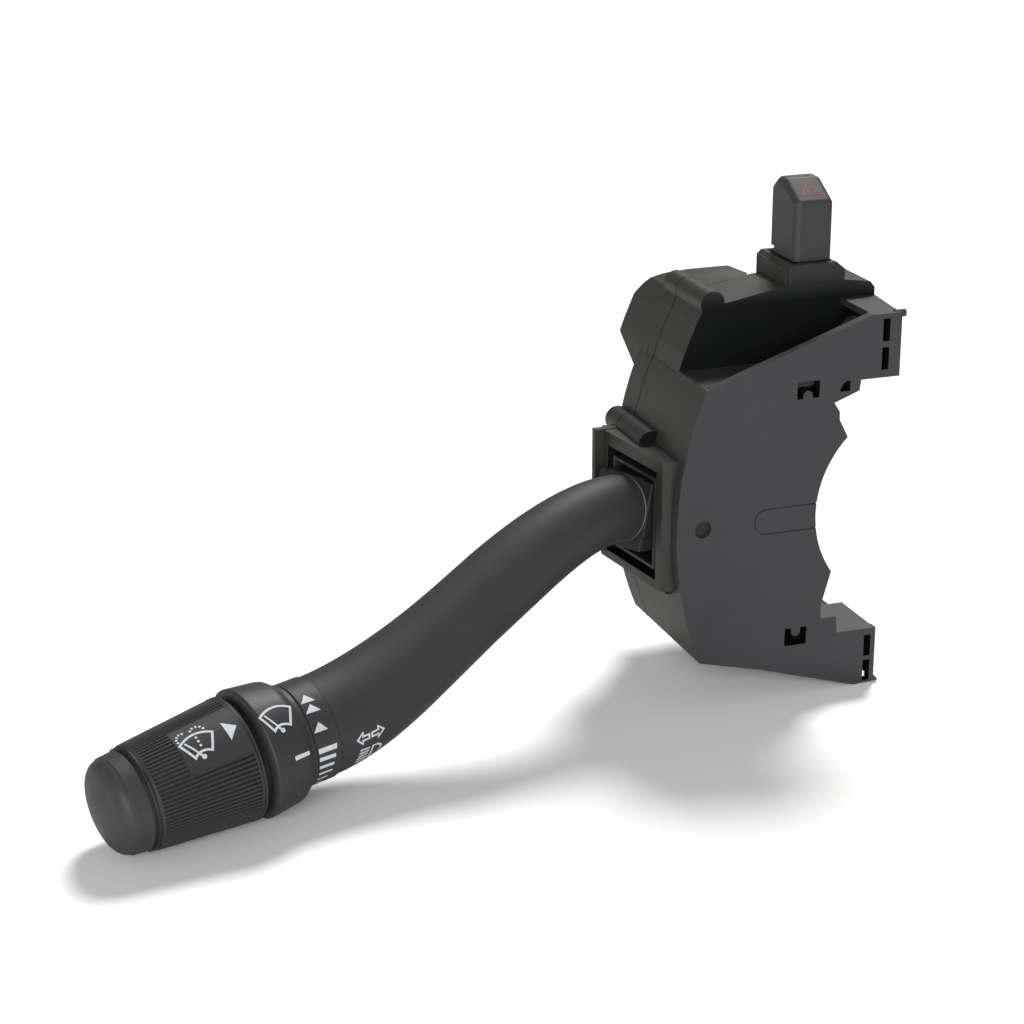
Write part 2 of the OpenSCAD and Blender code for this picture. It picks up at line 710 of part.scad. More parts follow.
module turn_carrier() {
    color(inner_black) seat() difference() {
        union() {
            slab(arm_front[0], arm_front[1]) carrier_arm();
            slab(arm_rear[0], arm_rear[1]) carrier_arm();
            for (side = [0, 1]) mirror([0, 0, side]) {
                block([-29, arm_front[0], box_half - carrier_wall],
                    [box_x[1], arm_rear[1], box_half]);
                block([pivot_x - 3.6, 10, box_half - carrier_wall], [-28, 26.4, box_half]);
                block([pivot_x - 3.6, 10, box_half - 1], [pivot_x - 1.6, 26.4, hood_half - hood_t]);
            }
            block([box_x[1] - carrier_wall, arm_front[0], -box_half], [box_x[1],
                arm_rear[1], box_half]);
            bar_x(plunger_y, 0, -20, box_x[1], plunger_r + 1);
            bar(pivot_x, 0, 0.9, arm_front[0], journal_r);
            bar(pivot_x, 0, arm_rear[1], parting_y, journal_r);
            for (z = [-6.6, 5.4]) block([-17.2, core_y - 6.6, z], [box_x[1] - 1, core_y + 6.6,
                z + 1.2]);
        }
        bar_z(pivot_x, core_y, -box_half - 1, box_half + 1, beam_r);
        bar_x(plunger_y, 0, -19, box_x[1] + 1, plunger_r + run_gap);
    }
}

hood_in = -33.4;                           // inner end of the hood
hood_half = 12;
hood_y = [7.5, arm_rear[0]];
hood_t = 1;
hood_out = [-41.6, -44.4];                 // its outer end at the front and at the rear
// Sleeve round the lever, its outer edge in line with the slanting socket frame
module hood_outline(d, reach) {
    polygon([[hood_in + reach, hood_y[0] + d], [hood_out[0] - reach, hood_y[0] + d],
        [hood_out[1] - reach, hood_y[1] - d], [hood_in + reach, hood_y[1] - d]]);
}

module carrier_hood() {
    color(inner_black) seat() difference() {
        translate([0, 0, -hood_half]) linear_extrude(2 * hood_half) hood_outline(0, 0);
        translate([0, 0, hood_t - hood_half]) linear_extrude(2 * hood_half - 2 * hood_t)
            hood_outline(hood_t, 1);
    }
}

module beam_pin() {
    color(steel) seat() bar_z(pivot_x, core_y, -box_half, box_half, beam_r);
}

module turn_contacts() {
    color(brass) seat() for (r = [10, 13, 16])
        block([pivot_x + r - 0.7, arm_rear[1], -1.6], [pivot_x + r + 0.7,
            board_y - track_t - gap, 1.6]);
}

module detent_plunger() {
    color("#d8d4c8") seat() difference() {
        union() {
            bar_x(plunger_y, 0, -15.5, plunger_tip - plunger_r, plunger_r);
            translate([plunger_tip - plunger_r, plunger_y, 0]) sphere(r = plunger_r);
        }
        bar_x(plunger_y, 0, -16, -12.4, plunger_r - 0.55);
    }
}

module detent_spring() {
    color(steel) seat() translate([-19, plunger_y, 0]) rotate([0, 90, 0])
        coil(0.85, 0.2, 6.5, 6);
}

slider_x = [-18.4, -15.1];
tongue_half = 1.5;
module beam_slider() {
    color("#d8d4c8") seat() difference() {
        block([slider_x[0], core_y - 3.6, -5.1], [slider_x[1], core_y + 3.6, 5.1]);
        block([slider_x[0] - 1, core_y - tongue_half - 0.35, -3.9], [slider_x[1] - 1,
            core_y + tongue_half + 0.35, 3.9]);
    }
}

// Lever

boot = [8.8, 8.5];                         // half height and half width of the boot plate
ring_t = 0.6;
module lever_root() {
    tail = slider_x[1] - 1.3;
    color(inner_black) seat() difference() {
        union() {
            at_root() translate([0, 0, -ring_t - 2]) linear_extrude(2) polygon([
                [boot[0], boot[1] - 3], [boot[0] - 3, boot[1]], [3 - boot[0], boot[1]],
                [-boot[0], boot[1] - 3], [-boot[0], 3 - boot[1]], [3 - boot[0], -boot[1]],
                [boot[0] - 3, -boot[1]], [boot[0], 3 - boot[1]]]);
            // square body behind the boot plate
            intersection() {
                block([-50, 10.9, -8.2], [-36.9, 27.2, 9.4]);
                at_root() translate([-20, -20, -40 - ring_t]) cube(40);
            }
            block([-41, core_y - core_half[0], -core_half[1]],
                [-22, core_y + core_half[0], core_half[1]]);
            block([-23, core_y - tongue_half, -3.5], [tail, core_y + tongue_half, 3.5]);
        }
        bar_z(pivot_x, core_y, -10, 10, beam_r + run_gap);
    }
}

module root_ring() {
    color("#8d8d8b") seat() at_root() difference() {
        translate([0, 0, -ring_t]) cylinder(r = root_r, h = ring_t);
        translate([0, 0, -1]) cylinder(r = 4, h = 2);
    }
}

module stalk_tube() {
    color(plastic) seat() difference() {
        swept(0, 1, 36, 40, 0);
        swept(0.06, 0.94, 16, 16, stalk_wall);
    }
}

module marked_band() {
    color(plastic) seat() turned_shape([
        [band_front, spindle_r], [band_front, band_r - 0.3], [band_front + 0.3, band_r],
        [band_back - 0.3, band_r], [band_back, band_r - 0.3], [band_back, spindle_r]]);
}

module knob_spindle() {
    color("#d8d4c8") seat() difference() {
        knob_ring(spindle_front, band_back, spindle_r, rod_r + run_gap);
        on_knob() translate([0, 0, -groove_at]) rotate_extrude($fn = 64)
            translate([ball_at, 0]) circle(r = ball_r + 0.2, $fn = 32);
    }
}

module wiper_contact_disc() {
    color("#6b5a3a") seat() knob_ring(band_front - disc_t, band_front, 10.4, spindle_r);
}

module spindle_clip() {
    color(steel) seat() knob_ring(collar_front - gap - 0.8, collar_front - gap, 7.8, spindle_r);
}

// Wiper collar

module wiper_collar() {
    color(plastic) seat() difference() {
        turned_shape([
            [collar_front, spindle_r + run_gap], [collar_front, collar_r - 0.5],
            [collar_front + 0.5, collar_r], [collar_back - 4, collar_r - 0.9],
            [collar_back - 3, collar_r - 1.2], [collar_back - 2.2, collar_r - 1.8],
            [collar_back - 1.6, collar_r - 2.6], [collar_back - 1.3, collar_r - 2.9],
            [collar_back, collar_r - 3], [collar_back, 11.2], [web_back, 11.2],
            [web_back, spindle_r + run_gap]]);
        on_knob() translate([0, 0, -groove_at]) rotate([0, -90, 0])
            cylinder(r = ball_r + run_gap, h = 12.8);
    }
}

module collar_sleeve() {
    color(inner_black) seat() turned_shape([
        [-1.2, sleeve_r - 1.8], [-1.2, sleeve_r - 0.3], [-0.9, sleeve_r],
        [collar_front, sleeve_r], [collar_front, sleeve_r - 1.8]]);
}

module collar_contacts() {
    reach = band_front - disc_t - gap - web_back;
    color(brass) seat() {
        knob_ring(web_back, web_back + 0.6, 10.2, 7);
        for (a = [0, 120, 240]) on_knob() rotate([0, 0, a])
            block([8, -1, -web_back - reach], [8.7, 1, -web_back - 0.5]);
    }
}

module collar_detent_ball() {
    color(steel) seat() on_knob() translate([-ball_at, 0, -groove_at]) sphere(r = ball_r);
}

module collar_detent_spring() {
    color(steel) seat() on_knob() translate([-ball_at - ball_r - 0.1, 0, -groove_at])
        rotate([0, -90, 0]) coil(0.95, 0.2, 12.8 - ball_at - ball_r - 0.2, 4);
}

module washer_spring() {
    seat_at = -6;
    color(steel) seat() on_knob() translate([0, 0, -collar_front])
        coil(9.4, 0.5, collar_front - seat_at, 4);
}

// Washer knob

function grip_at(k) = grip_r + (grip_tip_r - grip_r) * -k / grip_l;
rib_step = 360 / rib_count;
panel_half = 26;                           // half angle of the smooth panel
panel_mid = 147;                           // its middle, counted from the underside
panel_end = -16.7;                         // its end towards the tip
module knob_grip() {
    core = grip_r - rib_h;
    color(plastic) seat() difference() {
        union() {
            turned_shape([
                [0, 0], [0, grip_r - 0.4], [-0.4, grip_r], [-1.6, grip_at(-1.6)],
                [-1.6, grip_at(-1.6) - rib_h], [1.6 - grip_l, grip_at(1.6 - grip_l) - rib_h],
                [1.6 - grip_l, grip_at(1.6 - grip_l)], [-grip_l, grip_tip_r - 0.3], [-grip_l, 0]]);
            on_knob() translate([0, 0, 1.5]) linear_extrude(grip_l - 3,
                scale = grip_at(1.5 - grip_l) / grip_at(-1.5))
                for (a = [0:rib_step:359]) rotate(a) polygon([
                    [core - 1, -0.36], [core, -0.36], [grip_at(-1.5), -0.14],
                    [grip_at(-1.5), 0.14], [core, 0.36], [core - 1, 0.36]]);
            // smooth panel for the washer sign
            on_knob() rotate([0, 0, panel_mid - panel_half]) rotate_extrude(angle = 2 * panel_half)
                polygon([[core - 2, 1], [grip_at(-1.5), 1.5], [grip_at(panel_end), -panel_end],
                    [core - 4, -panel_end]]);
        }
        turned_shape([
            [1, 0], [1, sleeve_r + gap], [-1.2 - washer_travel - gap, sleeve_r + gap],
            [-1.2 - washer_travel - gap, 11.6], [-6, 11.6], [-6, spindle_r + gap],
            [-8, spindle_r + gap], [-8, 10.6], [2.2 - grip_l, 9.6], [2.2 - grip_l, rod_r],
            [-grip_l - 1, rod_r], [-grip_l - 1, 0]]);
    }
}

module knob_tip() {
    k = -grip_l;
    color(plastic) seat() turned_shape(concat(
        [[k, 0], [k, grip_tip_r - 1.1], [k - 0.6, grip_tip_r - 1.1], [k - 0.8, grip_tip_r - 0.6]],
        [[k - 4.2, grip_tip_r - 0.9]],
        [for (a = [0:10:80]) [k - tip_l + 4.4 - 3.3 * sin(a), grip_tip_r - 6.1 + 4.9 * cos(a)]],
        [[k - tip_l + 0.25, 4], [k - tip_l, 0]]));
}

module washer_rod() {
    color(steel) seat() knob_ring(-grip_l, 12, rod_r);
}

// Hazard button

module hazard_button() {
    r = 1.8;
    rear = button_y + button_d;
    profile = [[button_y + r, button_z], [rear - r, button_z],
        [button_y + r, button_z + button_h - r], [button_y + 8.4, button_z + button_h + 3.8 - r],
        [rear - 4.2, button_z + button_h + 3.9 - r], [rear - r, button_z + button_h + 1.9 - r]];
    color(plastic) seat() difference() {
        intersection() {
            hull() for (p = profile, x = [-1, 1])
                translate([button_x + x * (button_w / 2 - r), p[0], p[1]]) sphere(r = r, $fn = 24);
            block([button_x - 20, 0, button_z], [button_x + 20, 60, 100]);
        }
        block([button_x - stem_w / 2, stem_y[0], button_z - 1],
            [button_x + stem_w / 2, stem_y[1], button_z + 6]);
        block([button_x - button_w / 2 - 1, rear - 3, button_z - 1],
            [button_x - button_w / 2 + 1.6, rear + 1, button_z + 1.6]);
    }
}

module hazard_stem() {
    color(inner_black) seat() difference() {
        block([button_x - stem_w / 2, stem_y[0], stem_low],
            [button_x + stem_w / 2, stem_y[1], button_z + 6]);
        block([button_x - stem_w, stem_y[0] - 1, stem_low - 1],
            [button_x + stem_w, stem_y[0] + 1.2, stem_low + 1.5]);
    }
}

module hazard_bridge() {
    color(brass) seat() block([button_x - 3.2, stem_y[1], stem_low - 2.8],
        [button_x + 2.6, board_y - track_t - gap, stem_low + 1.4]);
}

module hazard_spring() {
    color(steel) seat() translate([button_x - 1.5, (stem_y[0] + stem_y[1]) / 2, shelf_z])
        coil(1.5, 0.3, stem_low - shelf_z, 7);
}

front_housing();
rear_cover();
socket_frame();
mount_bushes();
cover_screws();
contact_board();
contact_tracks();
detent_track();
main_connector();
main_pins();
wiper_connector();
wiper_pins();
hazard_spring();
pawl_pin();
pawl_spring();
turn_carrier();
carrier_hood();
beam_pin();
turn_contacts();
detent_spring();
detent_plunger();
beam_slider();
lever_root();
root_ring();
stalk_tube();
marked_band();
knob_spindle();
wiper_contact_disc();
spindle_clip();
wiper_collar();
collar_sleeve();
collar_contacts();
collar_detent_spring();
collar_detent_ball();
washer_spring();
knob_grip();
knob_tip();
washer_rod();
hazard_button();
hazard_stem();
hazard_bridge();
cancel_pawl();
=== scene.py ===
"""Steering column switch: finishes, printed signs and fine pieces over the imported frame.

Sizes in this file are millimetres, counted as in the part's source: from the front
face of the plate and a datum line down it. place() turns them into the row's metres.
"""

import json
import logging
import math
from dataclasses import dataclass, field
from enum import Enum
from typing import Callable, ClassVar, Sequence

import bmesh
import bpy
from mathutils import Matrix, Vector

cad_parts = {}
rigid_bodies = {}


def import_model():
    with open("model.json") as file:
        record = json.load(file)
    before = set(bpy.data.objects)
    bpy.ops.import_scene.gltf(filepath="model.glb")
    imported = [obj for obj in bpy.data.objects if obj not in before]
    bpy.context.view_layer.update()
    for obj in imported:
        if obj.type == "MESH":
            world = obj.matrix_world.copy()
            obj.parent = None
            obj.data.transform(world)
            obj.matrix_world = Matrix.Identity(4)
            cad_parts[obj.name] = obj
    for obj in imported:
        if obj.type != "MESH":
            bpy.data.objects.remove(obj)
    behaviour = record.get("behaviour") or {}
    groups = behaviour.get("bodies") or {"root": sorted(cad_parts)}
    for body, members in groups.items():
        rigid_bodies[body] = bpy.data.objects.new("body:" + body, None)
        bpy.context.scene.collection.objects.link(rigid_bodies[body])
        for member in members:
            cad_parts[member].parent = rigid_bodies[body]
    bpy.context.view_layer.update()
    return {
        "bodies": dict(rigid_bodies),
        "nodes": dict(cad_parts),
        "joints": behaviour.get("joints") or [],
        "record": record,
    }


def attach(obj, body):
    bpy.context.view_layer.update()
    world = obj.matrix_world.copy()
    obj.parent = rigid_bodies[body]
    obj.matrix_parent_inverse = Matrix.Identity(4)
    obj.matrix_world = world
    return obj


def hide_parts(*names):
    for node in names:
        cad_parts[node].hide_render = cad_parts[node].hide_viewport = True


BMesh = bmesh.types.BMesh
Pair = tuple[float, float]
Triple = tuple[float, float, float]
Flat = list[Pair]
Wrap = Callable[[float, float], Vector]
Test = Callable[[Vector, Vector], bool]

LOG = logging.getLogger("column switch")
MM = 0.001  # metres in a millimetre
DATUM = Vector((-16.0, -42.5, -0.3))  # the source's datum, seen from the row's origin
FLOOR_Z = -48.1  # the lowest edge of the lower ear and of the knob
PARTING_Y = 34.0  # where the housing meets its cover
GRIP_R = 14.9  # radius of the grip at its thick end
GRIP_TAPER = 0.0947  # fall of the grip's radius per length
BAND_R = 12.4  # radius of the marked band


def place(point: Sequence[float]) -> Vector:
    """Turns a point of the source, in millimetres, into the row's metres."""
    return (Vector(point) + DATUM) * MM


def source(point: Vector) -> Vector:
    """Turns a point of the row, in metres, back into the source's millimetres."""
    return point * (1 / MM) - DATUM


# Shader maths


class Sock:
    """A shader socket, with arithmetic that adds Math nodes."""

    def __init__(self, nodes: "NodeMaker", socket: bpy.types.NodeSocket) -> None:
        """Wraps a socket of the tree that nodes builds."""
        self.nodes = nodes
        self.socket = socket

    def _math(self, operation: str, *values: object, clamp: bool = False) -> "Sock":
        """Adds one Math node.

        Args:
            operation: Blender's name of the operation.
            values: sockets or numbers, in order.
            clamp: whether the result is held between 0 and 1.

        Returns:
            The node's output.
        """
        settings = {"operation": operation, "use_clamp": clamp}
        return self.nodes.add("ShaderNodeMath", settings, dict(enumerate(values)))

    def __add__(self, other: object) -> "Sock":
        """Sum."""
        return self._math("ADD", self, other)

    __radd__ = __add__

    def __sub__(self, other: object) -> "Sock":
        """Difference."""
        return self._math("SUBTRACT", self, other)

    def __rsub__(self, other: object) -> "Sock":
        """Difference from a number."""
        return self._math("SUBTRACT", other, self)

    def __mul__(self, other: object) -> "Sock":
        """Product."""
        return self._math("MULTIPLY", self, other)

    __rmul__ = __mul__

    def __truediv__(self, other: object) -> "Sock":
        """Quotient."""
        return self._math("DIVIDE", self, other)

    def clamped(self) -> "Sock":
        """The same value, held between 0 and 1."""
        return self._math("ADD", self, 0.0, clamp=True)


class NodeMaker:
    """Builds the nodes of one material or world."""

    def __init__(self, owner: bpy.types.Material | bpy.types.World) -> None:
        """Starts with an empty tree."""
        owner.use_nodes = True
        self.owner = owner
        self.tree = owner.node_tree
        self.tree.nodes.clear()

    def add(self, kind: str, settings: dict | None = None, inputs: dict | None = None,
            output: str | int = 0) -> Sock:
        """Adds one node.

        Args:
            kind: the node's Blender type.
            settings: attributes of the node.
            inputs: socket name or number to a value or a Sock.
            output: name or number of the output to hand back.

        Returns:
            The chosen output.
        """
        node = self.tree.nodes.new(kind)
        for key, value in (settings or {}).items():
            setattr(node, key, value)
        for key, value in (inputs or {}).items():
            if isinstance(value, Sock):
                self.tree.links.new(value.socket, node.inputs[key])
            else:
                node.inputs[key].default_value = value
        return Sock(self, node.outputs[output] if node.outputs else None)

    def where(self) -> Sock:
        """The object's own coordinates, in metres."""
        return self.add("ShaderNodeTexCoord", output="Object")

    def noise(self, scale: float, detail: float = 2.0, rough: float = 0.5) -> Sock:
        """Noise on the object's own coordinates, at a scale per metre."""
        return self.add("ShaderNodeTexNoise", None,
                        {"Vector": self.where(), "Scale": scale, "Detail": detail,
                         "Roughness": rough}, "Fac")

    def vector(self, operation: str, *values: object, output: str = "Vector") -> Sock:
        """Adds one Vector Math node."""
        return self.add("ShaderNodeVectorMath", {"operation": operation},
                        dict(enumerate(values)), output)

    def blend(self, factor: Sock, low: Sock | Triple, high: Sock | Triple) -> Sock:
        """Mixes two colours, either of which may be a socket, by a factor."""
        sides = {number: colour if isinstance(colour, Sock) else (*colour, 1.0)
                 for number, colour in ((6, low), (7, high))}
        return self.add("ShaderNodeMix", {"data_type": "RGBA"}, {0: factor, **sides}, 2)

    def bump(self, height: Sock, depth: float, strength: float = 1.0) -> Sock:
        """Normals from a height, with its depth in metres."""
        return self.add("ShaderNodeBump", None,
                        {"Height": height, "Distance": depth, "Strength": strength}, "Normal")

    def surface(self, colour: Sock, roughness: Sock | float, normal: Sock,
                metallic: float = 0.0, specular: float = 0.5) -> bpy.types.Material:
        """Closes a material with one Principled shader.

        Args:
            colour: base colour.
            roughness: roughness.
            normal: normals.
            metallic: metallic share.
            specular: strength of the reflection at the surface.

        Returns:
            The finished material.
        """
        self.close(self.add("ShaderNodeBsdfPrincipled", None, {
            "Base Color": colour, "Roughness": roughness, "Metallic": metallic,
            "Normal": normal, "Specular IOR Level": specular}, "BSDF"))
        return self.owner

    def close(self, shader: Sock, kind: str = "ShaderNodeOutputMaterial") -> None:
        """Links a shader to the tree's output."""
        self.add(kind, None, {"Surface": shader})


# Finishes


@dataclass(frozen=True)
class Coat:
    """A surface whose tone wanders between two colours."""

    name: str
    dark: Triple
    light: Triple

    def build(self) -> bpy.types.Material:
        """Builds the material."""
        return self.cover(NodeMaker(bpy.data.materials.new(self.name)))

    def cover(self, nodes: NodeMaker) -> bpy.types.Material:
        """Adds the coat's own nodes and closes the material."""
        raise NotImplementedError


@dataclass(frozen=True)
class Moulded(Coat):
    """Moulded plastic: a grained skin with faint flow marks and uneven gloss."""

    gloss: Pair = (0.42, 0.56)
    grain: float = 3200.0
    depth: float = 0.00003
    specular: float = 0.42

    def cover(self, nodes: NodeMaker) -> bpy.types.Material:
        """Adds flow marks, grain and pores."""
        cloud = nodes.noise(38.0, 3.0, 0.55)
        flow = nodes.noise(210.0, 4.0, 0.6)
        skin = nodes.noise(self.grain, 2.0, 0.5)
        pores = nodes.noise(self.grain * 2.7, 1.0, 0.5)
        tone = ((cloud - 0.5) * 1.3 + (flow - 0.5) * 0.7 + (pores - 0.5) * 0.5 + 0.5).clamped()
        low, high = self.gloss
        gloss = ((flow * 0.6 + cloud * 0.4) * (high - low) + low).clamped()
        normal = nodes.bump(skin * 0.75 + pores * 0.25, self.depth, 0.8)
        return nodes.surface(nodes.blend(tone, self.dark, self.light), gloss, normal,
                             specular=self.specular)


@dataclass(frozen=True)
class Shaded(Coat):
    """Moulded plastic with painted shade that darkens it downwards, between two heights in
    metres.
    """

    bottom: float
    top: float

    def cover(self, nodes: NodeMaker) -> bpy.types.Material:
        """Adds the fall of the light."""
        height = nodes.add("ShaderNodeSeparateXYZ", None, {"Vector": nodes.where()}, "Z")
        cloud = nodes.noise(150.0, 3.0, 0.6)
        rise = ((height - self.bottom) / (self.top - self.bottom)).clamped()
        tone = (rise + (cloud - 0.5) * 0.08).clamped()
        normal = nodes.bump(nodes.noise(3200.0), 0.00003, 0.8)
        return nodes.surface(nodes.blend(tone, self.dark, self.light), cloud * 0.1 + 0.6,
                             normal, specular=0.16)


@dataclass(frozen=True)
class Ribbed(Coat):
    """The grip's plastic, with painted shade down in the grooves between its ribs."""

    # colour of the painted shade down in the grooves
    groove: Triple
    depth: float = 0.00032
    fade: float = 22.0

    def cover(self, nodes: NodeMaker) -> bpy.types.Material:
        """Paints shade on what lies under the cone round the ribs, less towards the tip."""
        axis = KnobAxis()
        start, end = axis.point(0, 0, 0), axis.point(-1, 0, 0)
        way = tuple((end - start).normalized())
        offset = nodes.vector("SUBTRACT", nodes.where(), tuple(start))
        along = nodes.vector("DOT_PRODUCT", offset, way, output="Value")
        spread = nodes.vector("CROSS_PRODUCT", offset, way)
        reach = nodes.vector("LENGTH", spread, output="Value")
        sunk = ((GRIP_R * MM - along * GRIP_TAPER) - reach) / self.depth
        shade = (sunk.clamped() * (1.0 - along * self.fade)).clamped()
        cloud = nodes.noise(60.0, 3.0, 0.55)
        pores = nodes.noise(5200.0, 1.0, 0.5)
        base = nodes.blend((cloud * 0.6 + pores * 0.4).clamped(), self.dark, self.light)
        return nodes.surface(nodes.blend(shade, base, self.groove), cloud * 0.12 + 0.44,
                             nodes.bump(pores, 0.00002, 0.6), specular=0.36)


@dataclass(frozen=True)
class Metal(Coat):
    """Bare metal with fine drawn lines and a few dull patches."""

    gloss: Pair = (0.26, 0.46)

    def cover(self, nodes: NodeMaker) -> bpy.types.Material:
        """Adds patches and lines."""
        patches = nodes.noise(320.0, 3.0, 0.6)
        lines = nodes.noise(2600.0, 2.0, 0.6)
        tone = (patches * 0.7 + lines * 0.3).clamped()
        low, high = self.gloss
        return nodes.surface(nodes.blend(tone, self.dark, self.light),
                             (patches * (high - low) + low).clamped(),
                             nodes.bump(lines, 0.00001, 0.6), metallic=1.0)


@dataclass(frozen=True)
class Ink(Coat):
    """Printed paint, thin and slightly worn."""

    def cover(self, nodes: NodeMaker) -> bpy.types.Material:
        """Adds the wear."""
        wear = nodes.noise(1500.0, 3.0, 0.6)
        tone = ((wear - 0.3) * 2.2).clamped()
        return nodes.surface(nodes.blend(tone, self.dark, self.light), 0.5,
                             nodes.bump(wear, 0.00001, 0.4))


@dataclass(frozen=True)
class Laminate(Coat):
    """Brown board of pressed layers, with a fine weave."""

    def cover(self, nodes: NodeMaker) -> bpy.types.Material:
        """Adds the weave."""
        weave = nodes.add("ShaderNodeTexWave", {"bands_direction": "DIAGONAL"},
                          {"Vector": nodes.where(), "Scale": 700.0, "Distortion": 2.0}, "Fac")
        tone = (weave * 0.4 + nodes.noise(120.0, 3.0, 0.6) * 0.6).clamped()
        return nodes.surface(nodes.blend(tone, self.dark, self.light), 0.55,
                             nodes.bump(weave, 0.00002, 0.5))


class Finish(Enum):
    """The finishes of the switch."""

    PLATE = Moulded("plate plastic", (0.034, 0.035, 0.037), (0.044, 0.045, 0.048))
    SIDE = Moulded("cover plastic", (0.033, 0.032, 0.029), (0.042, 0.041, 0.037))
    FRAME = Moulded("frame plastic", (0.022, 0.022, 0.020), (0.029, 0.029, 0.027))
    STALK = Moulded("stalk plastic", (0.038, 0.038, 0.039), (0.048, 0.048, 0.049),
                    (0.54, 0.64), 2400.0, 0.00004, 0.34)
    KNOB = Moulded("knob plastic", (0.037, 0.037, 0.038), (0.047, 0.047, 0.048),
                   (0.46, 0.56), 2600.0, 0.00003, 0.36)
    # the grip's third colour is the painted shade in its grooves
    GRIP = Ribbed("grip plastic", (0.037, 0.037, 0.038), (0.046, 0.046, 0.047),
                  (0.010, 0.010, 0.010))
    # a lighter copy of the knob's plastic: painted light on the domed tip
    TIP = Moulded("tip plastic, painted light", (0.044, 0.044, 0.045), (0.054, 0.054, 0.055),
                  (0.46, 0.56), 2600.0, 0.00003, 0.36)
    BLACK = Moulded("black inner plastic", (0.009, 0.009, 0.009), (0.016, 0.016, 0.015),
                    (0.40, 0.60))
    # painted shade for faces inside the case, in the plate's holes, in the ears' hollows and in
    # the lever's socket
    INNER = Moulded("inner plastic, painted shade", (0.003, 0.003, 0.003), (0.006, 0.006, 0.006),
                    (0.60, 0.75), 1500.0, 0.00003, 0.10)
    # painted shade: the pocket's wall goes from plate grey to black downwards
    POCKET = Shaded("pocket wall, painted shade", (0.003, 0.0035, 0.0035), (0.037, 0.038, 0.040),
                    0.0505, 0.0575)
    NATURAL = Moulded("natural bearing plastic", (0.58, 0.55, 0.46), (0.70, 0.67, 0.58),
                      (0.34, 0.46))
    # the root ring's light tone is a painted highlight on the lip where the stalk leaves the
    # boot
    RING = Moulded("root ring, painted highlight", (0.16, 0.16, 0.15), (0.24, 0.24, 0.23), (0.3, 0.42))
    STEEL = Metal("plain steel", (0.42, 0.43, 0.44), (0.60, 0.61, 0.62))
    BRASS = Metal("contact brass", (0.50, 0.34, 0.13), (0.72, 0.54, 0.26))
    WHITE = Ink("white print", (0.60, 0.62, 0.68), (0.78, 0.80, 0.86))
    RED = Ink("red print", (0.16, 0.010, 0.010), (0.26, 0.018, 0.016))
    DARK_LINE = Ink("shadow line", (0.006, 0.006, 0.006), (0.010, 0.010, 0.010))
    BOARD = Laminate("contact board laminate", (0.12, 0.08, 0.035), (0.22, 0.16, 0.08))

    @property
    def material(self) -> bpy.types.Material:
        """The finish's material, built once."""
        found = bpy.data.materials.get(self.value.name)
        return found if found is not None else self.value.build()

    @property
    def slot(self) -> str:
        """The record's material slot of a piece with this finish."""
        slots = {Finish.BLACK: "black_plastic", Finish.NATURAL: "natural_plastic",
                 Finish.RING: "light_ring"}
        return slots.get(self, "grey_plastic")


# Finishes of the solids that are shown as they are
SOLID_FINISH: dict[Finish, tuple[str, ...]] = {
    Finish.STEEL: ("mount_bushes", "cover_screws", "hazard_spring", "pawl_pin", "pawl_spring",
                   "beam_pin", "detent_spring", "spindle_clip", "collar_detent_spring",
                   "collar_detent_ball", "washer_spring", "washer_rod"),
    Finish.BRASS: ("contact_tracks", "main_pins", "wiper_pins", "turn_contacts",
                   "collar_contacts", "hazard_bridge"),
    Finish.BOARD: ("contact_board", "wiper_contact_disc"),
    Finish.NATURAL: ("detent_track", "detent_plunger", "beam_slider", "knob_spindle"),
    Finish.BLACK: ("turn_carrier",),
}


# Mesh tools


def arc(cx: float, cy: float, r: float, start: float, end: float, steps: int = 10) -> Flat:
    """Points of an arc, with angles in degrees."""
    turns = [math.radians(start + (end - start) * i / steps) for i in range(steps + 1)]
    return [(cx + r * math.cos(a), cy + r * math.sin(a)) for a in turns]


def bow(start: Pair, middle: Pair, end: Pair, steps: int = 10) -> Flat:
    """Points of a smooth curve through three places."""
    pull = [2 * m - (s + e) / 2 for s, m, e in zip(start, middle, end)]
    points = []
    for i in range(steps + 1):
        t = i / steps
        x, y = ((1 - t) ** 2 * s + 2 * t * (1 - t) * p + t * t * e
                for s, p, e in zip(start, pull, end))
        points.append((x, y))
    return points


def depth_inside(outline: Sequence[Pair], x: float, y: float) -> float:
    """How deep a place lies inside an outline, less than 0 where it lies outside."""
    nearest, inside = math.inf, False
    for (ax, ay), (bx, by) in zip(outline, (*outline[1:], outline[0])):
        dx, dy = bx - ax, by - ay
        t = max(0.0, min(1.0, ((x - ax) * dx + (y - ay) * dy) / (dx * dx + dy * dy)))
        nearest = min(nearest, math.hypot(x - ax - t * dx, y - ay - t * dy))
        if (ay > y) != (by > y) and x < ax + dx * (y - ay) / dy:
            inside = not inside
    return nearest if inside else -nearest


@dataclass(frozen=True)
class Box:
    """A box of places in the source."""

    low: Triple
    high: Triple

    def holds(self, at: Vector) -> bool:
        """Whether a place lies in the box."""
        return all(low < value < high for low, value, high in zip(self.low, at, self.high))


@dataclass(frozen=True)
class Skin:
    """How the copy of one solid is dressed.

    Args:
        node: the CAD node that it replaces.
        name: the piece's name.
        body: the CAD body that it rides on.
        finish: what it is made of.
        width: width of its rounded edges, 0 for none.
        smooth: edges sharper than this, in degrees, stay sharp.
    """

    node: str
    name: str
    body: str
    finish: Finish
    width: float = 0.0
    smooth: float = 50.0


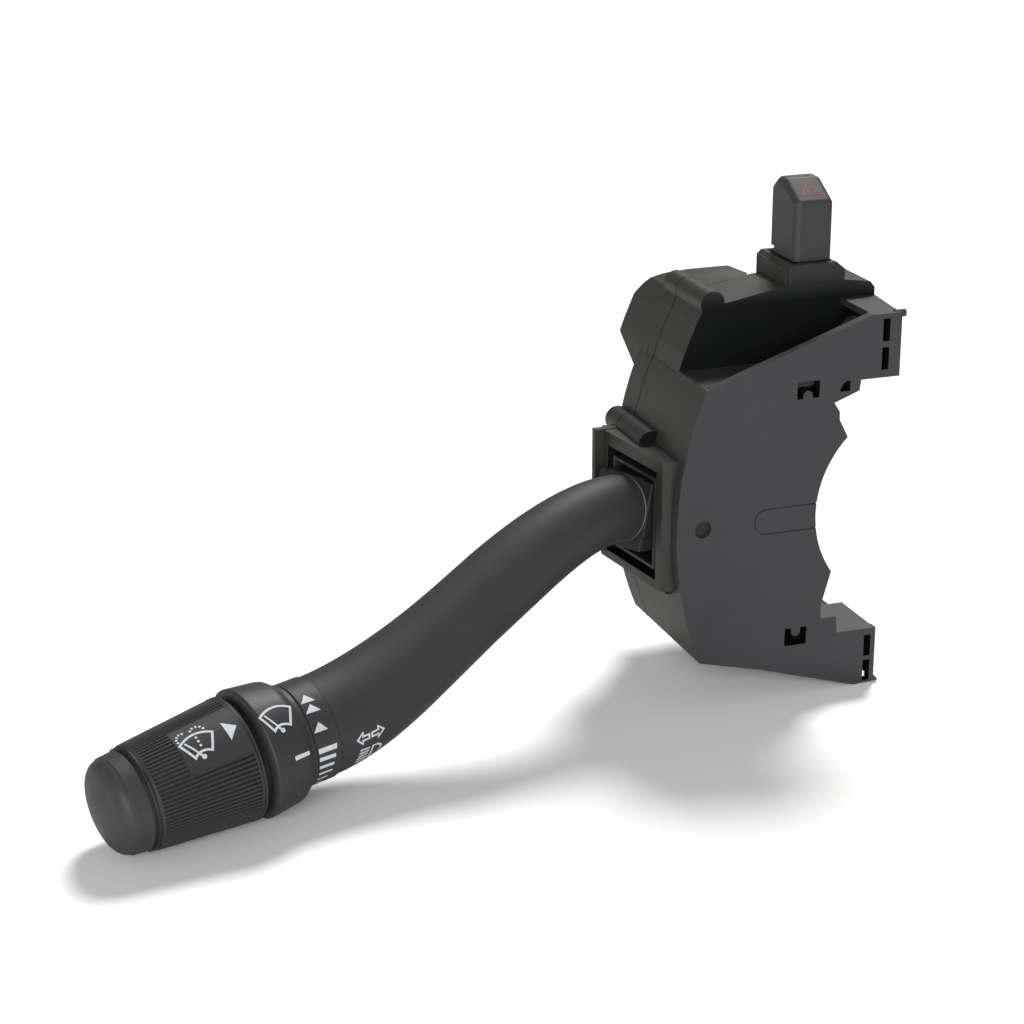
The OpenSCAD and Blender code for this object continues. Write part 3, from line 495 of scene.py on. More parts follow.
class Workshop:
    """Turns bmeshes into pieces of the switch and keeps count of them."""

    MERGE = 2e-6  # vertices nearer than this, in metres, become one
    FLAT = math.radians(0.8)  # faces that meet flatter than this become one
    SHARP = math.radians(30.0)  # edges sharper than this are rounded
    ROOM = (2.6, 1.2, 0.5, 0.0)  # shortest edge nearby, in widths, for each round of bevels
    THIN = 0.1  # width of the finest rounded edges

    def __init__(self, frame: dict) -> None:
        """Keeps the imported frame."""
        self.frame = frame
        self.count = 0

    def piece(self, bm: BMesh, name: str, body: str, finish: Finish,
              replaced: str | None = None, smooth: float = 50.0) -> bpy.types.Object:
        """Makes an object from a bmesh that is already in place, in metres.

        Args:
            bm: the mesh, freed afterwards.
            name: the object's name.
            body: the CAD body that it rides on.
            finish: what it is made of.
            replaced: the CAD node that it replaces, or None for an extra piece.
            smooth: edges sharper than this, in degrees, stay sharp.

        Returns:
            The new object.
        """
        mesh = bpy.data.meshes.new(name)
        bm.to_mesh(mesh)
        bm.free()
        mesh.shade_smooth()
        mesh.set_sharp_from_angle(angle=math.radians(smooth))
        self._weigh_normals(mesh, smooth)
        mesh.materials.append(finish.material)
        obj = bpy.data.objects.new(name, mesh)
        bpy.context.scene.collection.objects.link(obj)
        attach(obj, body)
        finish.slot
        if replaced:
            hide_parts(replaced)
        self.count += 1
        LOG.info("%s: %d faces on %s", name, len(mesh.polygons), body)
        return obj

    @staticmethod
    def _weigh_normals(mesh: bpy.types.Mesh, smooth: float) -> None:
        """Weighs the faces round each corner by their area, so that large ones stay flat."""
        normals = [face.normal.copy() for face in mesh.polygons]
        areas = [face.area for face in mesh.polygons]
        around: list[list[int]] = [[] for _ in mesh.vertices]
        for face in mesh.polygons:
            for vertex in face.vertices:
                around[vertex].append(face.index)
        least = math.cos(math.radians(smooth))
        corners = []
        for face in mesh.polygons:
            own = normals[face.index]
            for vertex in face.vertices:
                total = Vector()
                for other in around[vertex]:
                    if normals[other].dot(own) > least:
                        total += normals[other] * areas[other]
                corners.append(total.normalized() if total.length > 0 else own)
        mesh.normals_split_custom_set(corners)

    def dress(self, skin: Skin, change: Callable[[BMesh], None] | None = None
              ) -> bpy.types.Object:
        """Makes the piece that stands for a solid.

        Args:
            skin: how it is dressed.
            change: a change of the shape before its edges are rounded.

        Returns:
            The new object.
        """
        bm = bmesh.new()
        bm.from_mesh(self.frame["nodes"][skin.node].data)
        bmesh.ops.remove_doubles(bm, verts=bm.verts, dist=self.MERGE)
        bmesh.ops.dissolve_limit(bm, angle_limit=self.FLAT, use_dissolve_boundaries=False,
                                 verts=bm.verts, edges=bm.edges, delimit={"NORMAL"})
        if change is not None:
            change(bm)
        if skin.width > 0:
            self.round_edges(bm, skin.width)
        bmesh.ops.triangulate(bm, faces=[f for f in bm.faces if len(f.verts) > 4])
        return self.piece(bm, skin.name, skin.body, skin.finish, skin.node, skin.smooth)

    def paint(self, obj: bpy.types.Object, finish: Finish, chosen: Test) -> None:
        """Gives some faces of a piece another finish.

        Args:
            obj: the piece.
            finish: the finish of the chosen faces.
            chosen: tells from a face's middle, in the source's millimetres, and its normal.
        """
        mesh = obj.data
        mesh.materials.append(finish.material)
        index = len(mesh.materials) - 1
        for face in mesh.polygons:
            if chosen(source(face.center), face.normal):
                face.material_index = index

    def round_edges(self, bm: BMesh, width: float) -> None:
        """Rounds the sharp edges by a width in millimetres.

        One operation rounds all its edges by what the tightest of them allows, so the edges
        with plenty of room come first and the others follow on their own.
        """
        done: set[bmesh.types.BMFace] = set()
        for room in self.ROOM:
            need = room * width * MM
            sharp = [e for e in bm.edges if len(e.link_faces) == 2
                     and e.calc_face_angle(0.0) > self.SHARP
                     and not done.intersection(e.link_faces)
                     and min(n.calc_length() for v in e.verts for n in v.link_edges) > need]
            if sharp:
                made = bmesh.ops.bevel(bm, geom=sharp, offset=width * MM, offset_type="OFFSET",
                                       segments=2, profile=0.5, affect="EDGES", material=-1,
                                       clamp_overlap=True)
                done.update(made["faces"])

    def block(self, low: Triple, high: Triple, rounding: float) -> BMesh:
        """Makes a block with rounded edges between two corners of the source."""
        a, b = place(low), place(high)
        bm = bmesh.new()
        bmesh.ops.create_cube(bm, size=1.0)
        bmesh.ops.scale(bm, verts=bm.verts, vec=tuple(abs(v) for v in b - a))
        bmesh.ops.translate(bm, verts=bm.verts, vec=(a + b) / 2)
        self.round_edges(bm, rounding)
        return bm

    def border(self, low: Triple, high: Triple, width: float) -> BMesh:
        """Makes a raised rectangular border on a face that looks along minus X.

        Args:
            low: one corner, on the face.
            high: the other corner, at the border's outer height.
            width: width of the border.

        Returns:
            The mesh, in metres.
        """
        bm = self.block(low, high, 0.0)
        front = min(bm.faces, key=lambda f: f.calc_center_median().x)
        bmesh.ops.inset_individual(bm, faces=[front], thickness=width * MM, depth=0.0)
        sunk = abs(high[0] - low[0]) * 0.7 * MM
        bmesh.ops.translate(bm, verts=front.verts, vec=(sunk, 0, 0))
        self.round_edges(bm, self.THIN)
        return bm

    def peg(self, at: Triple, radius: float, length: float, rounding: float) -> BMesh:
        """Makes a round peg that runs backwards from the middle of its front end.

        Args:
            at: middle of its front end.
            radius: its radius.
            length: its length.
            rounding: width of its rounded edges.

        Returns:
            The mesh, in metres.
        """
        bm = bmesh.new()
        bmesh.ops.create_cone(bm, cap_ends=True, cap_tris=False, segments=48,
                              radius1=radius * MM, radius2=radius * MM, depth=length * MM)
        turn = Matrix.Rotation(math.radians(-90), 4, "X")
        middle = place(Vector(at) + Vector((0, length / 2, 0)))
        bmesh.ops.transform(bm, matrix=Matrix.Translation(middle) @ turn, verts=bm.verts)
        self.round_edges(bm, rounding)
        return bm

    @staticmethod
    def belt(path: Sequence[Pair], y: float, half: float = 0.35, lift: float = 0.04,
             sink: float = 0.1) -> BMesh:
        """Makes a thin belt along an outline that is seen from the front.

        Args:
            path: places (x, z) of the outline, clockwise.
            y: the belt's middle line.
            half: half its width.
            lift: its height over the outline.
            sink: its depth under the outline.

        Returns:
            The mesh, in metres.
        """
        bm = bmesh.new()
        rings = []
        corners = ((-sink, y - half), (lift, y - half), (lift, y + half), (-sink, y + half))
        for i, (x, z) in enumerate(path):
            before, after = path[max(i - 1, 0)], path[min(i + 1, len(path) - 1)]
            way = Vector((after[0] - before[0], after[1] - before[1])).normalized()
            rings.append([bm.verts.new(place((x - way.y * out, back, z + way.x * out)))
                          for out, back in corners])
        for a, b in zip(rings, rings[1:]):
            for j in range(4):
                bm.faces.new((a[j], a[(j + 1) % 4], b[(j + 1) % 4], b[j]))
        bm.faces.new(rings[0])
        bm.faces.new(rings[-1])
        bmesh.ops.recalc_face_normals(bm, faces=bm.faces)
        return bm


# Curved surfaces


@dataclass
class KnobAxis:
    """The knob's own frame: k runs from the grip's thick end towards the column."""

    at: Triple = (-155.2, -19.3, -33.1)
    yaw: float = 16.3
    drop: float = 5.8
    matrix: Matrix = field(init=False)

    def __post_init__(self) -> None:
        """Works out the frame's matrix."""
        turn = Matrix.Rotation(math.radians(180 + self.yaw), 4, "Z")
        tip = Matrix.Rotation(math.radians(90 + self.drop), 4, "Y")
        self.matrix = Matrix.Translation(self.at) @ turn @ tip

    def point(self, k: float, angle: float, radius: float) -> Vector:
        """A point by its distance k, angle from the underside and radius, in metres."""
        a = math.radians(angle)
        local = Vector((radius * math.cos(a), radius * math.sin(a), -k))
        return place(self.matrix @ local)

    def lathe(self, profile: Sequence[Pair], steps: int = 128) -> BMesh:
        """Turns a closed outline of (k, radius) corners, off the axis, into a solid.

        Args:
            profile: corners, in order round the outline.
            steps: facets once round.

        Returns:
            The mesh, in metres.
        """
        bm = bmesh.new()
        verts = [bm.verts.new((r, 0.0, -k)) for k, r in profile]
        edges = [bm.edges.new(pair) for pair in zip(verts, verts[1:] + verts[:1])]
        bmesh.ops.spin(bm, geom=verts + edges, cent=(0, 0, 0), axis=(0, 0, 1), dvec=(0, 0, 0),
                       angle=math.tau, steps=steps, use_merge=True, use_normal_flip=False,
                       use_duplicate=False)
        bmesh.ops.remove_doubles(bm, verts=bm.verts, dist=1e-4)
        bmesh.ops.recalc_face_normals(bm, faces=bm.faces)
        for vert in bm.verts:
            vert.co = place(self.matrix @ vert.co)
        return bm


@dataclass
class StalkPath:
    """The stalk's centre line and radius, as in the part's source."""

    knob: KnobAxis
    root: Triple = (-46.5, 18.2, 1.5)
    yaw: float = 24.7
    rise: float = 10.4
    band_back: float = 21.0
    pull: float = 30.0
    radii: Triple = (8.5, 9.9, 12.1)
    bend: list[Vector] = field(init=False)

    def __post_init__(self) -> None:
        """Works out the curve's four points."""
        turn, lift = math.radians(self.yaw), math.radians(self.rise)
        out = Vector((-math.cos(lift) * math.cos(turn), -math.cos(lift) * math.sin(turn),
                      math.sin(lift)))
        tip = (self.knob.matrix.to_3x3() @ Vector((0, 0, 1))).normalized()
        end = Vector(self.knob.at) - tip * self.band_back
        root = Vector(self.root)
        self.bend = [root, root + out * self.pull, end - tip * self.pull, end]

    def centre(self, t: float) -> Vector:
        """Point of the centre line, in millimetres."""
        a, b, c, d = self.bend
        s = 1 - t
        return a * s ** 3 + b * (3 * s * s * t) + c * (3 * s * t * t) + d * t ** 3

    def heading(self, t: float) -> Vector:
        """Direction of the centre line towards the knob."""
        a, b, c, d = self.bend
        s = 1 - t
        return ((b - a) * s * s + (c - b) * (2 * s * t) + (d - c) * t * t).normalized()

    def radius(self, t: float) -> float:
        """Radius of the stalk."""
        low, waist, neck = self.radii
        if t < 0.5:
            return low + (waist - low) * (1 - math.cos(math.tau * t)) / 2
        return waist + (neck - waist) * (1 - math.cos(math.tau * (t - 0.5))) / 2

    def point(self, t: float, angle: float, lift: float) -> Vector:
        """Point of the skin, in metres.

        Args:
            t: place along the stalk, 0 at the socket.
            angle: degrees from the side away from the driver, through the top.
            lift: height over the skin, in millimetres.

        Returns:
            The point.
        """
        h = self.heading(t)
        side = h.cross(Vector((0, 0, 1))).normalized()
        a = math.radians(angle)
        out = side * math.cos(a) + side.cross(h) * math.sin(a)
        return place(self.centre(t) + out * (self.radius(t) + lift))


# Printed signs


@dataclass
class Sign:
    """A flat sign made of strokes and filled shapes, in millimetres."""

    strokes: list[tuple[Flat, float]] = field(default_factory=list)
    fills: list[Flat] = field(default_factory=list)

    def mesh(self, wrap: Wrap, cuts: int = 3) -> BMesh:
        """Builds the sign and lays it on a surface.

        Args:
            wrap: gives the point in metres for a flat place.
            cuts: how finely it is cut to follow the surface.

        Returns:
            The mesh.
        """
        bm = bmesh.new()
        for path, width in self.strokes:
            self._ribbon(bm, path, width)
        for outline in self.fills:
            verts = [bm.verts.new((x, y, 0.0)) for x, y in outline]
            bmesh.ops.contextual_create(bm, geom=verts)
        bmesh.ops.triangulate(bm, faces=bm.faces)
        if cuts:
            bmesh.ops.subdivide_edges(bm, edges=bm.edges, cuts=cuts, use_grid_fill=True)
        for vert in bm.verts:
            vert.co = wrap(vert.co.x, vert.co.y)
        bmesh.ops.recalc_face_normals(bm, faces=bm.faces)
        return bm

    @staticmethod
    def _ribbon(bm: BMesh, path: Flat, width: float) -> None:
        """Adds a band of even width along a path; a path that ends at its start is closed."""
        points = [Vector(p) for p in path]
        closed = (points[0] - points[-1]).length < 1e-6
        rows: list[tuple[Vector, Vector]] = []
        for i, here in enumerate(points):
            before = points[i - 1] if i else (points[-2] if closed else None)
            after = points[i + 1] if i + 1 < len(points) else (points[1] if closed else None)
            a = (here - before).normalized() if before is not None else None
            b = (after - here).normalized() if after is not None else None
            way = (a + b).normalized() if a is not None and b is not None else (a or b)
            across = Vector((-way.y, way.x))
            grow = 1.0
            if a is not None and b is not None:
                grow = min(1.8, 1.0 / max(0.3, across.dot(Vector((-a.y, a.x)))))
            rows.append((here + across * width / 2 * grow, here - across * width / 2 * grow))
        left, right = (bm.verts.new((*side, 0.0)) for side in rows[0])
        edge = bm.edges.new((left, right))
        for row in rows[1:]:
            grown = bmesh.ops.extrude_edge_only(bm, edges=[edge])["geom"]
            new = [v for v in grown if isinstance(v, bmesh.types.BMVert)]
            edge = next(e for e in grown if isinstance(e, bmesh.types.BMEdge)
                        and set(e.verts) == set(new))
            old = left.co.copy()
            left, right = sorted(new, key=lambda v: (v.co - old).length)[:2]
            left.co, right.co = (*row[0], 0.0), (*row[1], 0.0)


class Signs(Enum):
    """The generic signs of such a switch, in millimetres about their own middle."""

    WIPER = "wiper"
    WASHER = "washer"
    ARROW = "arrow"
    LAMP = "lamp"
    WARNING = "warning"

    def draw(self) -> Sign:
        """Draws the sign."""
        if self is Signs.ARROW:
            shape = [(-1.55, 0.55), (-1.55, -0.55), (0.15, -0.55), (0.15, -1.5), (1.6, 0.0),
                     (0.15, 1.5), (0.15, 0.55), (-1.55, 0.55)]
            return Sign(strokes=[(shape, 0.5)])
        if self is Signs.LAMP:
            glass = [(0.4, 2.1), *arc(0.9, 0, 2.1, 75, -75, 12), (0.4, -2.1), (0.4, 2.1)]
            rays = [([(-3.1, y), (-0.45, y)], 0.58) for y in (2.0, 1.0, 0.0, -1.0, -2.0)]
            return Sign(strokes=[(glass, 0.55), *rays])
        if self is Signs.WARNING:
            return Sign(strokes=[(arc(0, 0, 3.0, 90, -270, 3), 0.34),
                                 (arc(0, 0, 1.5, 90, -270, 3), 0.32)])
        pen = 0.56
        top = bow((-4.0, 1.37), (0.2, 2.87), (4.2, 1.56))
        low = bow((2.2, -2.46), (-0.1, -1.78), (-2.1, -2.73))
        sign = Sign(strokes=[(top + low + top[:1], pen),
                             ([(-2.75, 1.5), (-0.85, -1.95)], pen * 0.8),
                             ([(-0.9, -2.1), (-0.2, -3.0)], pen)],
                    fills=[arc(-0.15, -3.1, 0.6, 0, 330, 11)])
        if self is Signs.WASHER:
            for cx, cy, start, end in ((-2.2, 2.75, 200, 60), (1.35, 3.05, 150, -5)):
                step = (end - start) / 5.4
                for i in range(5):
                    dash = arc(cx, cy, 1.65, start + i * step * 1.12,
                               start + (i * 1.12 + 0.6) * step, 3)
                    sign.strokes.append((dash, pen))
            for y in (2.1, 1.0, -0.1):
                sign.strokes.append(([(0.35, y), (0.29, y - 0.55)], pen))
        return sign


@dataclass
class Printer:
    """Lays signs on the knob, the stalk and the hazard button."""

    shop: Workshop
    knob: KnobAxis
    stalk: StalkPath

    LIFT: ClassVar[float] = 0.04  # height of the print over the plastic
    STALK_UNIT: ClassVar[float] = 93.8  # length of the stalk per unit of t, near the band
    # wedges of the speed marks and bars of the delay, as (k, angle) corners on the band
    SPEEDS: ClassVar[tuple[Flat, ...]] = (
        [(17.0, 158.4), (18.6, 147.5), (15.0, 148.7)],
        [(16.9, 145.2), (18.65, 135.1), (14.75, 136.0)],
        [(16.7, 124.2), (18.4, 113.6), (14.8, 114.0)])
    DELAYS: ClassVar[tuple[Flat, ...]] = (
        [(14.75, 96.4), (19.7, 95.6), (19.5, 89.8), (14.75, 90.5)],
        [(14.75, 85.9), (19.1, 84.6), (19.05, 79.9), (14.75, 81.1)],
        [(14.75, 75.3), (18.7, 74.0), (18.6, 70.2), (14.75, 70.9)],
        [(14.75, 64.9), (18.3, 64.2), (18.3, 61.2), (14.75, 61.4)],
        [(14.75, 55.0), (17.4, 54.9), (17.5, 52.3), (14.75, 52.3)],
        [(14.9, 45.3), (16.9, 44.1), (17.1, 42.4), (15.1, 43.0)])

    @staticmethod
    def collar(k: float) -> float:
        """Radius of the wiper collar."""
        return 15.68 - max(0.0, k - 2.7) * 0.107

    @staticmethod
    def band(_: float) -> float:
        """Radius of the marked band."""
        return BAND_R

    @staticmethod
    def grip(k: float) -> float:
        """Radius of the grip over its ribs."""
        return GRIP_R - GRIP_TAPER * max(0.0, -k)

    def on_knob(self, k: float, angle: float, radius: Callable[[float], float]) -> Wrap:
        """Gives a wrap round the knob's axis, with x towards the column.

        Args:
            k: place of the sign's middle along the axis.
            angle: place of its middle round the axis.
            radius: the surface's radius at a place k.

        Returns:
            A function from a flat place to a point in metres.
        """
        def wrap(x: float, y: float) -> Vector:
            """Point of the surface for a flat place."""
            r = radius(k + x)
            return self.knob.point(k + x, angle + math.degrees(y / r), r + self.LIFT)

        return wrap

    def on_stalk(self, t: float, angle: float, turn: float) -> Wrap:
        """Gives a wrap round the stalk, with x towards the column.

        Args:
            t: place of the sign's middle along the stalk.
            angle: place of its middle round the stalk.
            turn: turn of the sign on the surface, in degrees.

        Returns:
            A function from a flat place to a point in metres.
        """
        c, s = math.cos(math.radians(turn)), math.sin(math.radians(turn))

        def wrap(x: float, y: float) -> Vector:
            """Point of the surface for a flat place."""
            along, around = x * c - y * s, x * s + y * c
            at = t - along / self.STALK_UNIT
            r = self.stalk.radius(at)
            return self.stalk.point(at, angle - math.degrees(around / r), self.LIFT)

        return wrap

    def put(self, name: str, body: str, sign: Sign, wrap: Wrap) -> None:
        """Prints a white sign."""
        self.shop.piece(sign.mesh(wrap), name, body, Finish.WHITE)

    def build(self) -> None:
        """Prints every sign."""
        self.put("sign_wiper", "wiper_collar", Signs.WIPER.draw(),
                 self.on_knob(6.9, 139.5, self.collar))
        self.put("sign_washer", "washer_knob", Signs.WASHER.draw(),
                 self.on_knob(-12.1, 146.0, self.grip))
        self.put("sign_washer_pointer", "washer_knob",
                 Sign(fills=[[(-1.5, 2.55), (1.4, 0.25), (-1.25, -2.5)]]),
                 self.on_knob(-3.8, 147.0, self.grip))
        self.put("sign_collar_index", "wiper_collar",
                 Sign(fills=[[(-2.0, 0.52), (2.0, 0.42), (1.95, -0.5), (-2.0, -0.5)]]),
                 self.on_knob(9.35, 101.2, self.collar))
        middle, angle = 16.7, 100.0
        on_band = self.on_knob(middle, angle, self.band)
        degree = math.radians(1) * BAND_R
        for kind, marks in (("speed", self.SPEEDS), ("delay", self.DELAYS)):
            for i, outline in enumerate(marks, 1):
                flat = [(k - middle, (a - angle) * degree) for k, a in outline]
                self.put(f"sign_{kind}_{i}", "lever", Sign(fills=[flat]), on_band)
        for name, sign, wrap in (
                ("sign_arrow_left", Signs.ARROW, self.on_stalk(0.937, -175.2, 171.4)),
                ("sign_arrow_right", Signs.ARROW, self.on_stalk(0.8955, -172.8, -8.6)),
                ("sign_lamp", Signs.LAMP, self.on_stalk(0.9225, -147.6, -14))):
            self.put(name, "lever", sign.draw(), wrap)
        self._button()

    def _button(self) -> None:
        """Prints the warning sign on the hazard button's sloping top."""
        low, high = Vector((5.6, 21.2, 75.46)), Vector((5.6, 27.8, 79.26))
        across = Vector((1, 0, 0))
        up = (high - low).normalized()
        middle = low.lerp(high, 0.5) + across.cross(up) * 0.03 + across * 0.3

        def wrap(x: float, y: float) -> Vector:
            """Point of the button's slope for a flat place."""
            return place(middle + across * x + up * (y - 0.7))

        self.shop.piece(Signs.WARNING.draw().mesh(wrap, 0), "sign_hazard", "hazard_button",
                        Finish.RED)


# Sub-assemblies


@dataclass
class Assembly:
    """Pieces of the switch that are made together."""

    shop: Workshop

    SKINS: ClassVar[tuple[Skin, ...]] = ()

    def build(self) -> None:
        """Dresses the solids of the group."""
        for skin in self.SKINS:
            self.shop.dress(skin)


@dataclass
class Case(Assembly):
    """The housing, its cover, the socket frame and the plugs' shrouds."""

    SKINS = (
        Skin("front_housing", "front_housing_skin", "case", Finish.PLATE, 0.3),
        Skin("rear_cover", "rear_cover_skin", "case", Finish.SIDE, 0.3),
        Skin("socket_frame", "socket_frame_skin", "case", Finish.FRAME, 0.4),
        Skin("main_connector", "main_connector_skin", "case", Finish.BLACK, 0.2),
        Skin("wiper_connector", "wiper_connector_skin", "case", Finish.BLACK, 0.2))
    WALL: ClassVar[float] = 2.5
    SIDE_Y: ClassVar[float] = 4.0  # where the outer side starts, behind the plate
    SHOULDER_Z: ClassVar[float] = 45.0  # the outer side's top faces lie above this
    POCKET: ClassVar[Pair] = (18.0, 34.0)  # the pocket's rear wall and its lower end
    FACING: ClassVar[float] = 0.8  # part of a normal along an axis, where a face looks that way
    SLACK: ClassVar[float] = 0.2  # how far a face's middle may be off
    # outline of the room behind the plate, before its walls are taken off
    ROOM: ClassVar[tuple[Pair, ...]] = (
        (-60, 35.6), (9, 35.6), (9, 31), (2.6, 28.8), (3.4, 24.5), (20, 10), (20, -8),
        (3.2, -16.5), (1.2, -24.6), (1.2, -35), (-14.9, -39.8), (-32.5, -35.6), (-60, -35.6))
    # middle and radius of the case's outer side, and of the cut for the column
    SIDE: ClassVar[Triple] = (55.25, -0.5, 94.0)
    SADDLE: ClassVar[Triple] = (26.4, 0.3, 27.6)
    # the windows and slots through the plate, and the hollows of both ears, whose faces get
    # painted shade
    DARK: ClassVar[tuple[Box, ...]] = (
        Box((-7.7, 0.05, 30.7), (-1.3, 3.6, 35.5)), Box((-8.7, 0.05, -34.6), (-2.3, 3.6, -29.5)),
        Box((3.65, 0.05, 31.5), (7.05, 3.6, 34.7)), Box((15.0, 0.05, 36.0), (17.3, 3.6, 49.4)),
        Box((13.9, 0.05, -47.4), (16.2, 3.6, -34.4)))
    HOLLOWS: ClassVar[tuple[Box, ...]] = (
        Box((13.0, 2.4, 35.5), (18.8, 18.4, 49.0)), Box((3.9, 2.4, -46.2), (16.1, 15.8, -34.2)))
    # the lever's socket: front, rear, middle height, half height
    SOCKET: ClassVar[tuple[float, ...]] = (6.9, 31.2, -0.3, 14.15)
    # snap tongues: middle of the round end, and how far the end is drawn back
    TONGUES: ClassVar[tuple[Triple, ...]] = ((-4.6, 33.1, -1.5), (-5.5, -32.05, 1.4))
    TONGUE_R: ClassVar[float] = 1.3
    TONGUE_END: ClassVar[float] = 3.6  # how far back the tongues reach
    # the case's outline below its round side, and over its shoulder
    CHIN: ClassVar[tuple[Pair, ...]] = ((11, -44.3), (-14.9, -39.8), (-32.0, -35.7))
    BROW: ClassVar[tuple[Pair, ...]] = (
        (-31.6, 35.1), (-30.1, 39.7), (-26.8, 47.5), (-25.4, 50.4), (-19.4, 51.9),
        (-10.75, 53.4), (-5.0, 53.6))
    # screw bosses on the side: middle, and first and last angle of what stands out
    BOSSES: ClassVar[tuple[tuple[float, ...], ...]] = (
        (-38.3, 17.4, 250.0, 70.0), (-22.6, 51.9, 225.0, -20.0))
    BOSS_R: ClassVar[float] = 3.2

    def build(self) -> None:
        """Dresses the fixed pieces and adds the small shapes on them."""
        # the socket's lining and the room inside the case get painted shade
        socket = (Finish.INNER, self._in_socket_shade)
        seam = (Finish.DARK_LINE, self._in_seam)
        # the pocket's faces get painted shade that goes black downwards
        paints = {"front_housing": ((Finish.SIDE, self._on_side),
                                    (Finish.POCKET, self._in_pocket_shade),
                                    (Finish.INNER, self._in_room_shade), seam, socket),
                  "rear_cover": (seam,), "socket_frame": (socket,)}
        changes = {"front_housing": self._shorten_tongues}
        for skin in self.SKINS:
            piece = self.shop.dress(skin, changes.get(skin.node))
            for finish, chosen in paints.get(skin.node, ()):
                self.shop.paint(piece, finish, chosen)
        self._trim()

    def _shorten_tongues(self, bm: BMesh) -> None:
        """Draws back the round ends of the two snap tongues."""
        for x, z, shift in self.TONGUES:
            end = []
            for vert in bm.verts:
                at = source(vert.co)
                reach = math.hypot(at.x - x, at.z - z)
                if at.y < self.TONGUE_END and abs(reach - self.TONGUE_R) < 0.06 \
                        and (at.z - z) * -shift > -0.02:
                    end.append(vert)
            bmesh.ops.translate(bm, verts=end, vec=(0, 0, shift * MM))

    def _on_side(self, at: Vector, normal: Vector) -> bool:
        """Whether a face belongs to the housing's outer side, a warmer grey in the light."""
        top = normal.z > 0.3 and at.z > self.SHOULDER_Z
        return at.y > self.SIDE_Y and (normal.x < -0.3 or top)

    def _in_pocket_shade(self, at: Vector, normal: Vector) -> bool:
        """Whether a face gets painted shade: the pocket's wall behind the plate's top edge, the
        plate's back face there and the front end of the boss above the socket.
        """
        back, low = self.POCKET
        wall = normal.y < -self.FACING and abs(at.y - back) < 1.0 and at.z > low
        rear = normal.y > self.FACING and 1.5 < at.y < 2.6 and at.z > 35.0
        x, z = self.BOSSES[0][:2]
        cap = normal.y < -self.FACING and math.hypot(at.x - x, at.z - z) < self.BOSS_R + 0.4
        return wall or rear or cap

    def _in_room_shade(self, at: Vector, normal: Vector) -> bool:
        """Whether a face lies inside the case or in a hole of the plate, and so gets painted
        shade.
        """
        if abs(normal.y) < 0.5 and any(box.holds(at) for box in self.DARK):
            return True
        if any(box.holds(at) for box in self.HOLLOWS):
            return True
        if not self.WALL - self.SLACK < at.y < PARTING_Y - 0.1:
            return False
        inner = self.WALL - 2 * self.SLACK
        side, saddle = (math.hypot(at.x - x, at.z - z) - r
                        for x, z, r in (self.SIDE, self.SADDLE))
        return side <= -inner and saddle >= inner and \
            depth_inside(self.ROOM, at.x, at.z) > inner

    def _in_seam(self, at: Vector, normal: Vector) -> bool:
        """Whether a face lies in the groove where housing and cover meet."""
        return abs(at.y - PARTING_Y) < 0.31 and abs(normal.y) < 0.98

    def _in_socket_shade(self, at: Vector, normal: Vector) -> bool:
        """Whether a face lines the opening that the lever comes out of, and so gets painted
        shade.
        """
        front, rear, middle, half = self.SOCKET
        near, height = self.SLACK, abs(at.z - middle)
        if at.x > -30 or not front - near < at.y < rear + near or height > half + near:
            return False
        flat = abs(height - half) < near and abs(normal.z) > self.FACING
        return flat or (abs(at.y - front) < near and normal.y > self.FACING) or \
            (abs(at.y - rear) < near and normal.y < -self.FACING)

    def _trim(self) -> None:
        """Adds the small raised shapes of the case, a block of painted shade behind a slot and
        the shadow lines of its seam.
        """
        shop = self.shop
        x, z, r = self.SIDE
        side = [(x - math.sqrt(r * r - (h - z) ** 2), h) for h in range(-35, 36, 2)]
        rings = [arc(x, z, self.BOSS_R, first, last, 24) for x, z, first, last in self.BOSSES]
        for name, finish, bm in (
                ("socket_flange", Finish.FRAME,
                 shop.block((-47.6, 33.2, -15.5), (-38.5, 35.2, 17.6), 0.3)),
                ("tower_border", Finish.SIDE,
                 shop.border((-2.15, 19.2, 51.9), (-2.5, 36.4, 59.0), 1.0)),
                # a black block of painted shade behind the lower ear's slot, where the floor
                # would show through
                ("ear_shade_block", Finish.INNER,
                 shop.block((13.2, 5.0, -46.3), (16.2, 5.8, -40.5), shop.THIN)),
                ("seam_line", Finish.DARK_LINE,
                 shop.belt([*self.CHIN, *side, *self.BROW], PARTING_Y)),
                ("boss_seam_0", Finish.DARK_LINE, shop.belt(rings[0], PARTING_Y)),
                ("boss_seam_1", Finish.DARK_LINE, shop.belt(rings[1], PARTING_Y)),
                # below the socket frame
                ("frame_pin", Finish.BLACK, shop.peg((-38.2, 5.2, -16.7), 1.5, 6.0, 0.2))):
            shop.piece(bm, name, "case", finish)


@dataclass
class Lever(Assembly):
    """The carrier's hood, the lever's root, the stalk and the marked band."""

    SKINS = (
        Skin("carrier_hood", "hood_skin", "turn_carrier", Finish.BLACK, 0.2),
        Skin("lever_root", "boot_skin", "lever", Finish.BLACK, 0.3),
        Skin("root_ring", "root_ring_skin", "lever", Finish.RING, 0.15),
        Skin("stalk_tube", "stalk_skin", "lever", Finish.STALK),
        Skin("marked_band", "band_skin", "lever", Finish.KNOB, smooth=40.0))


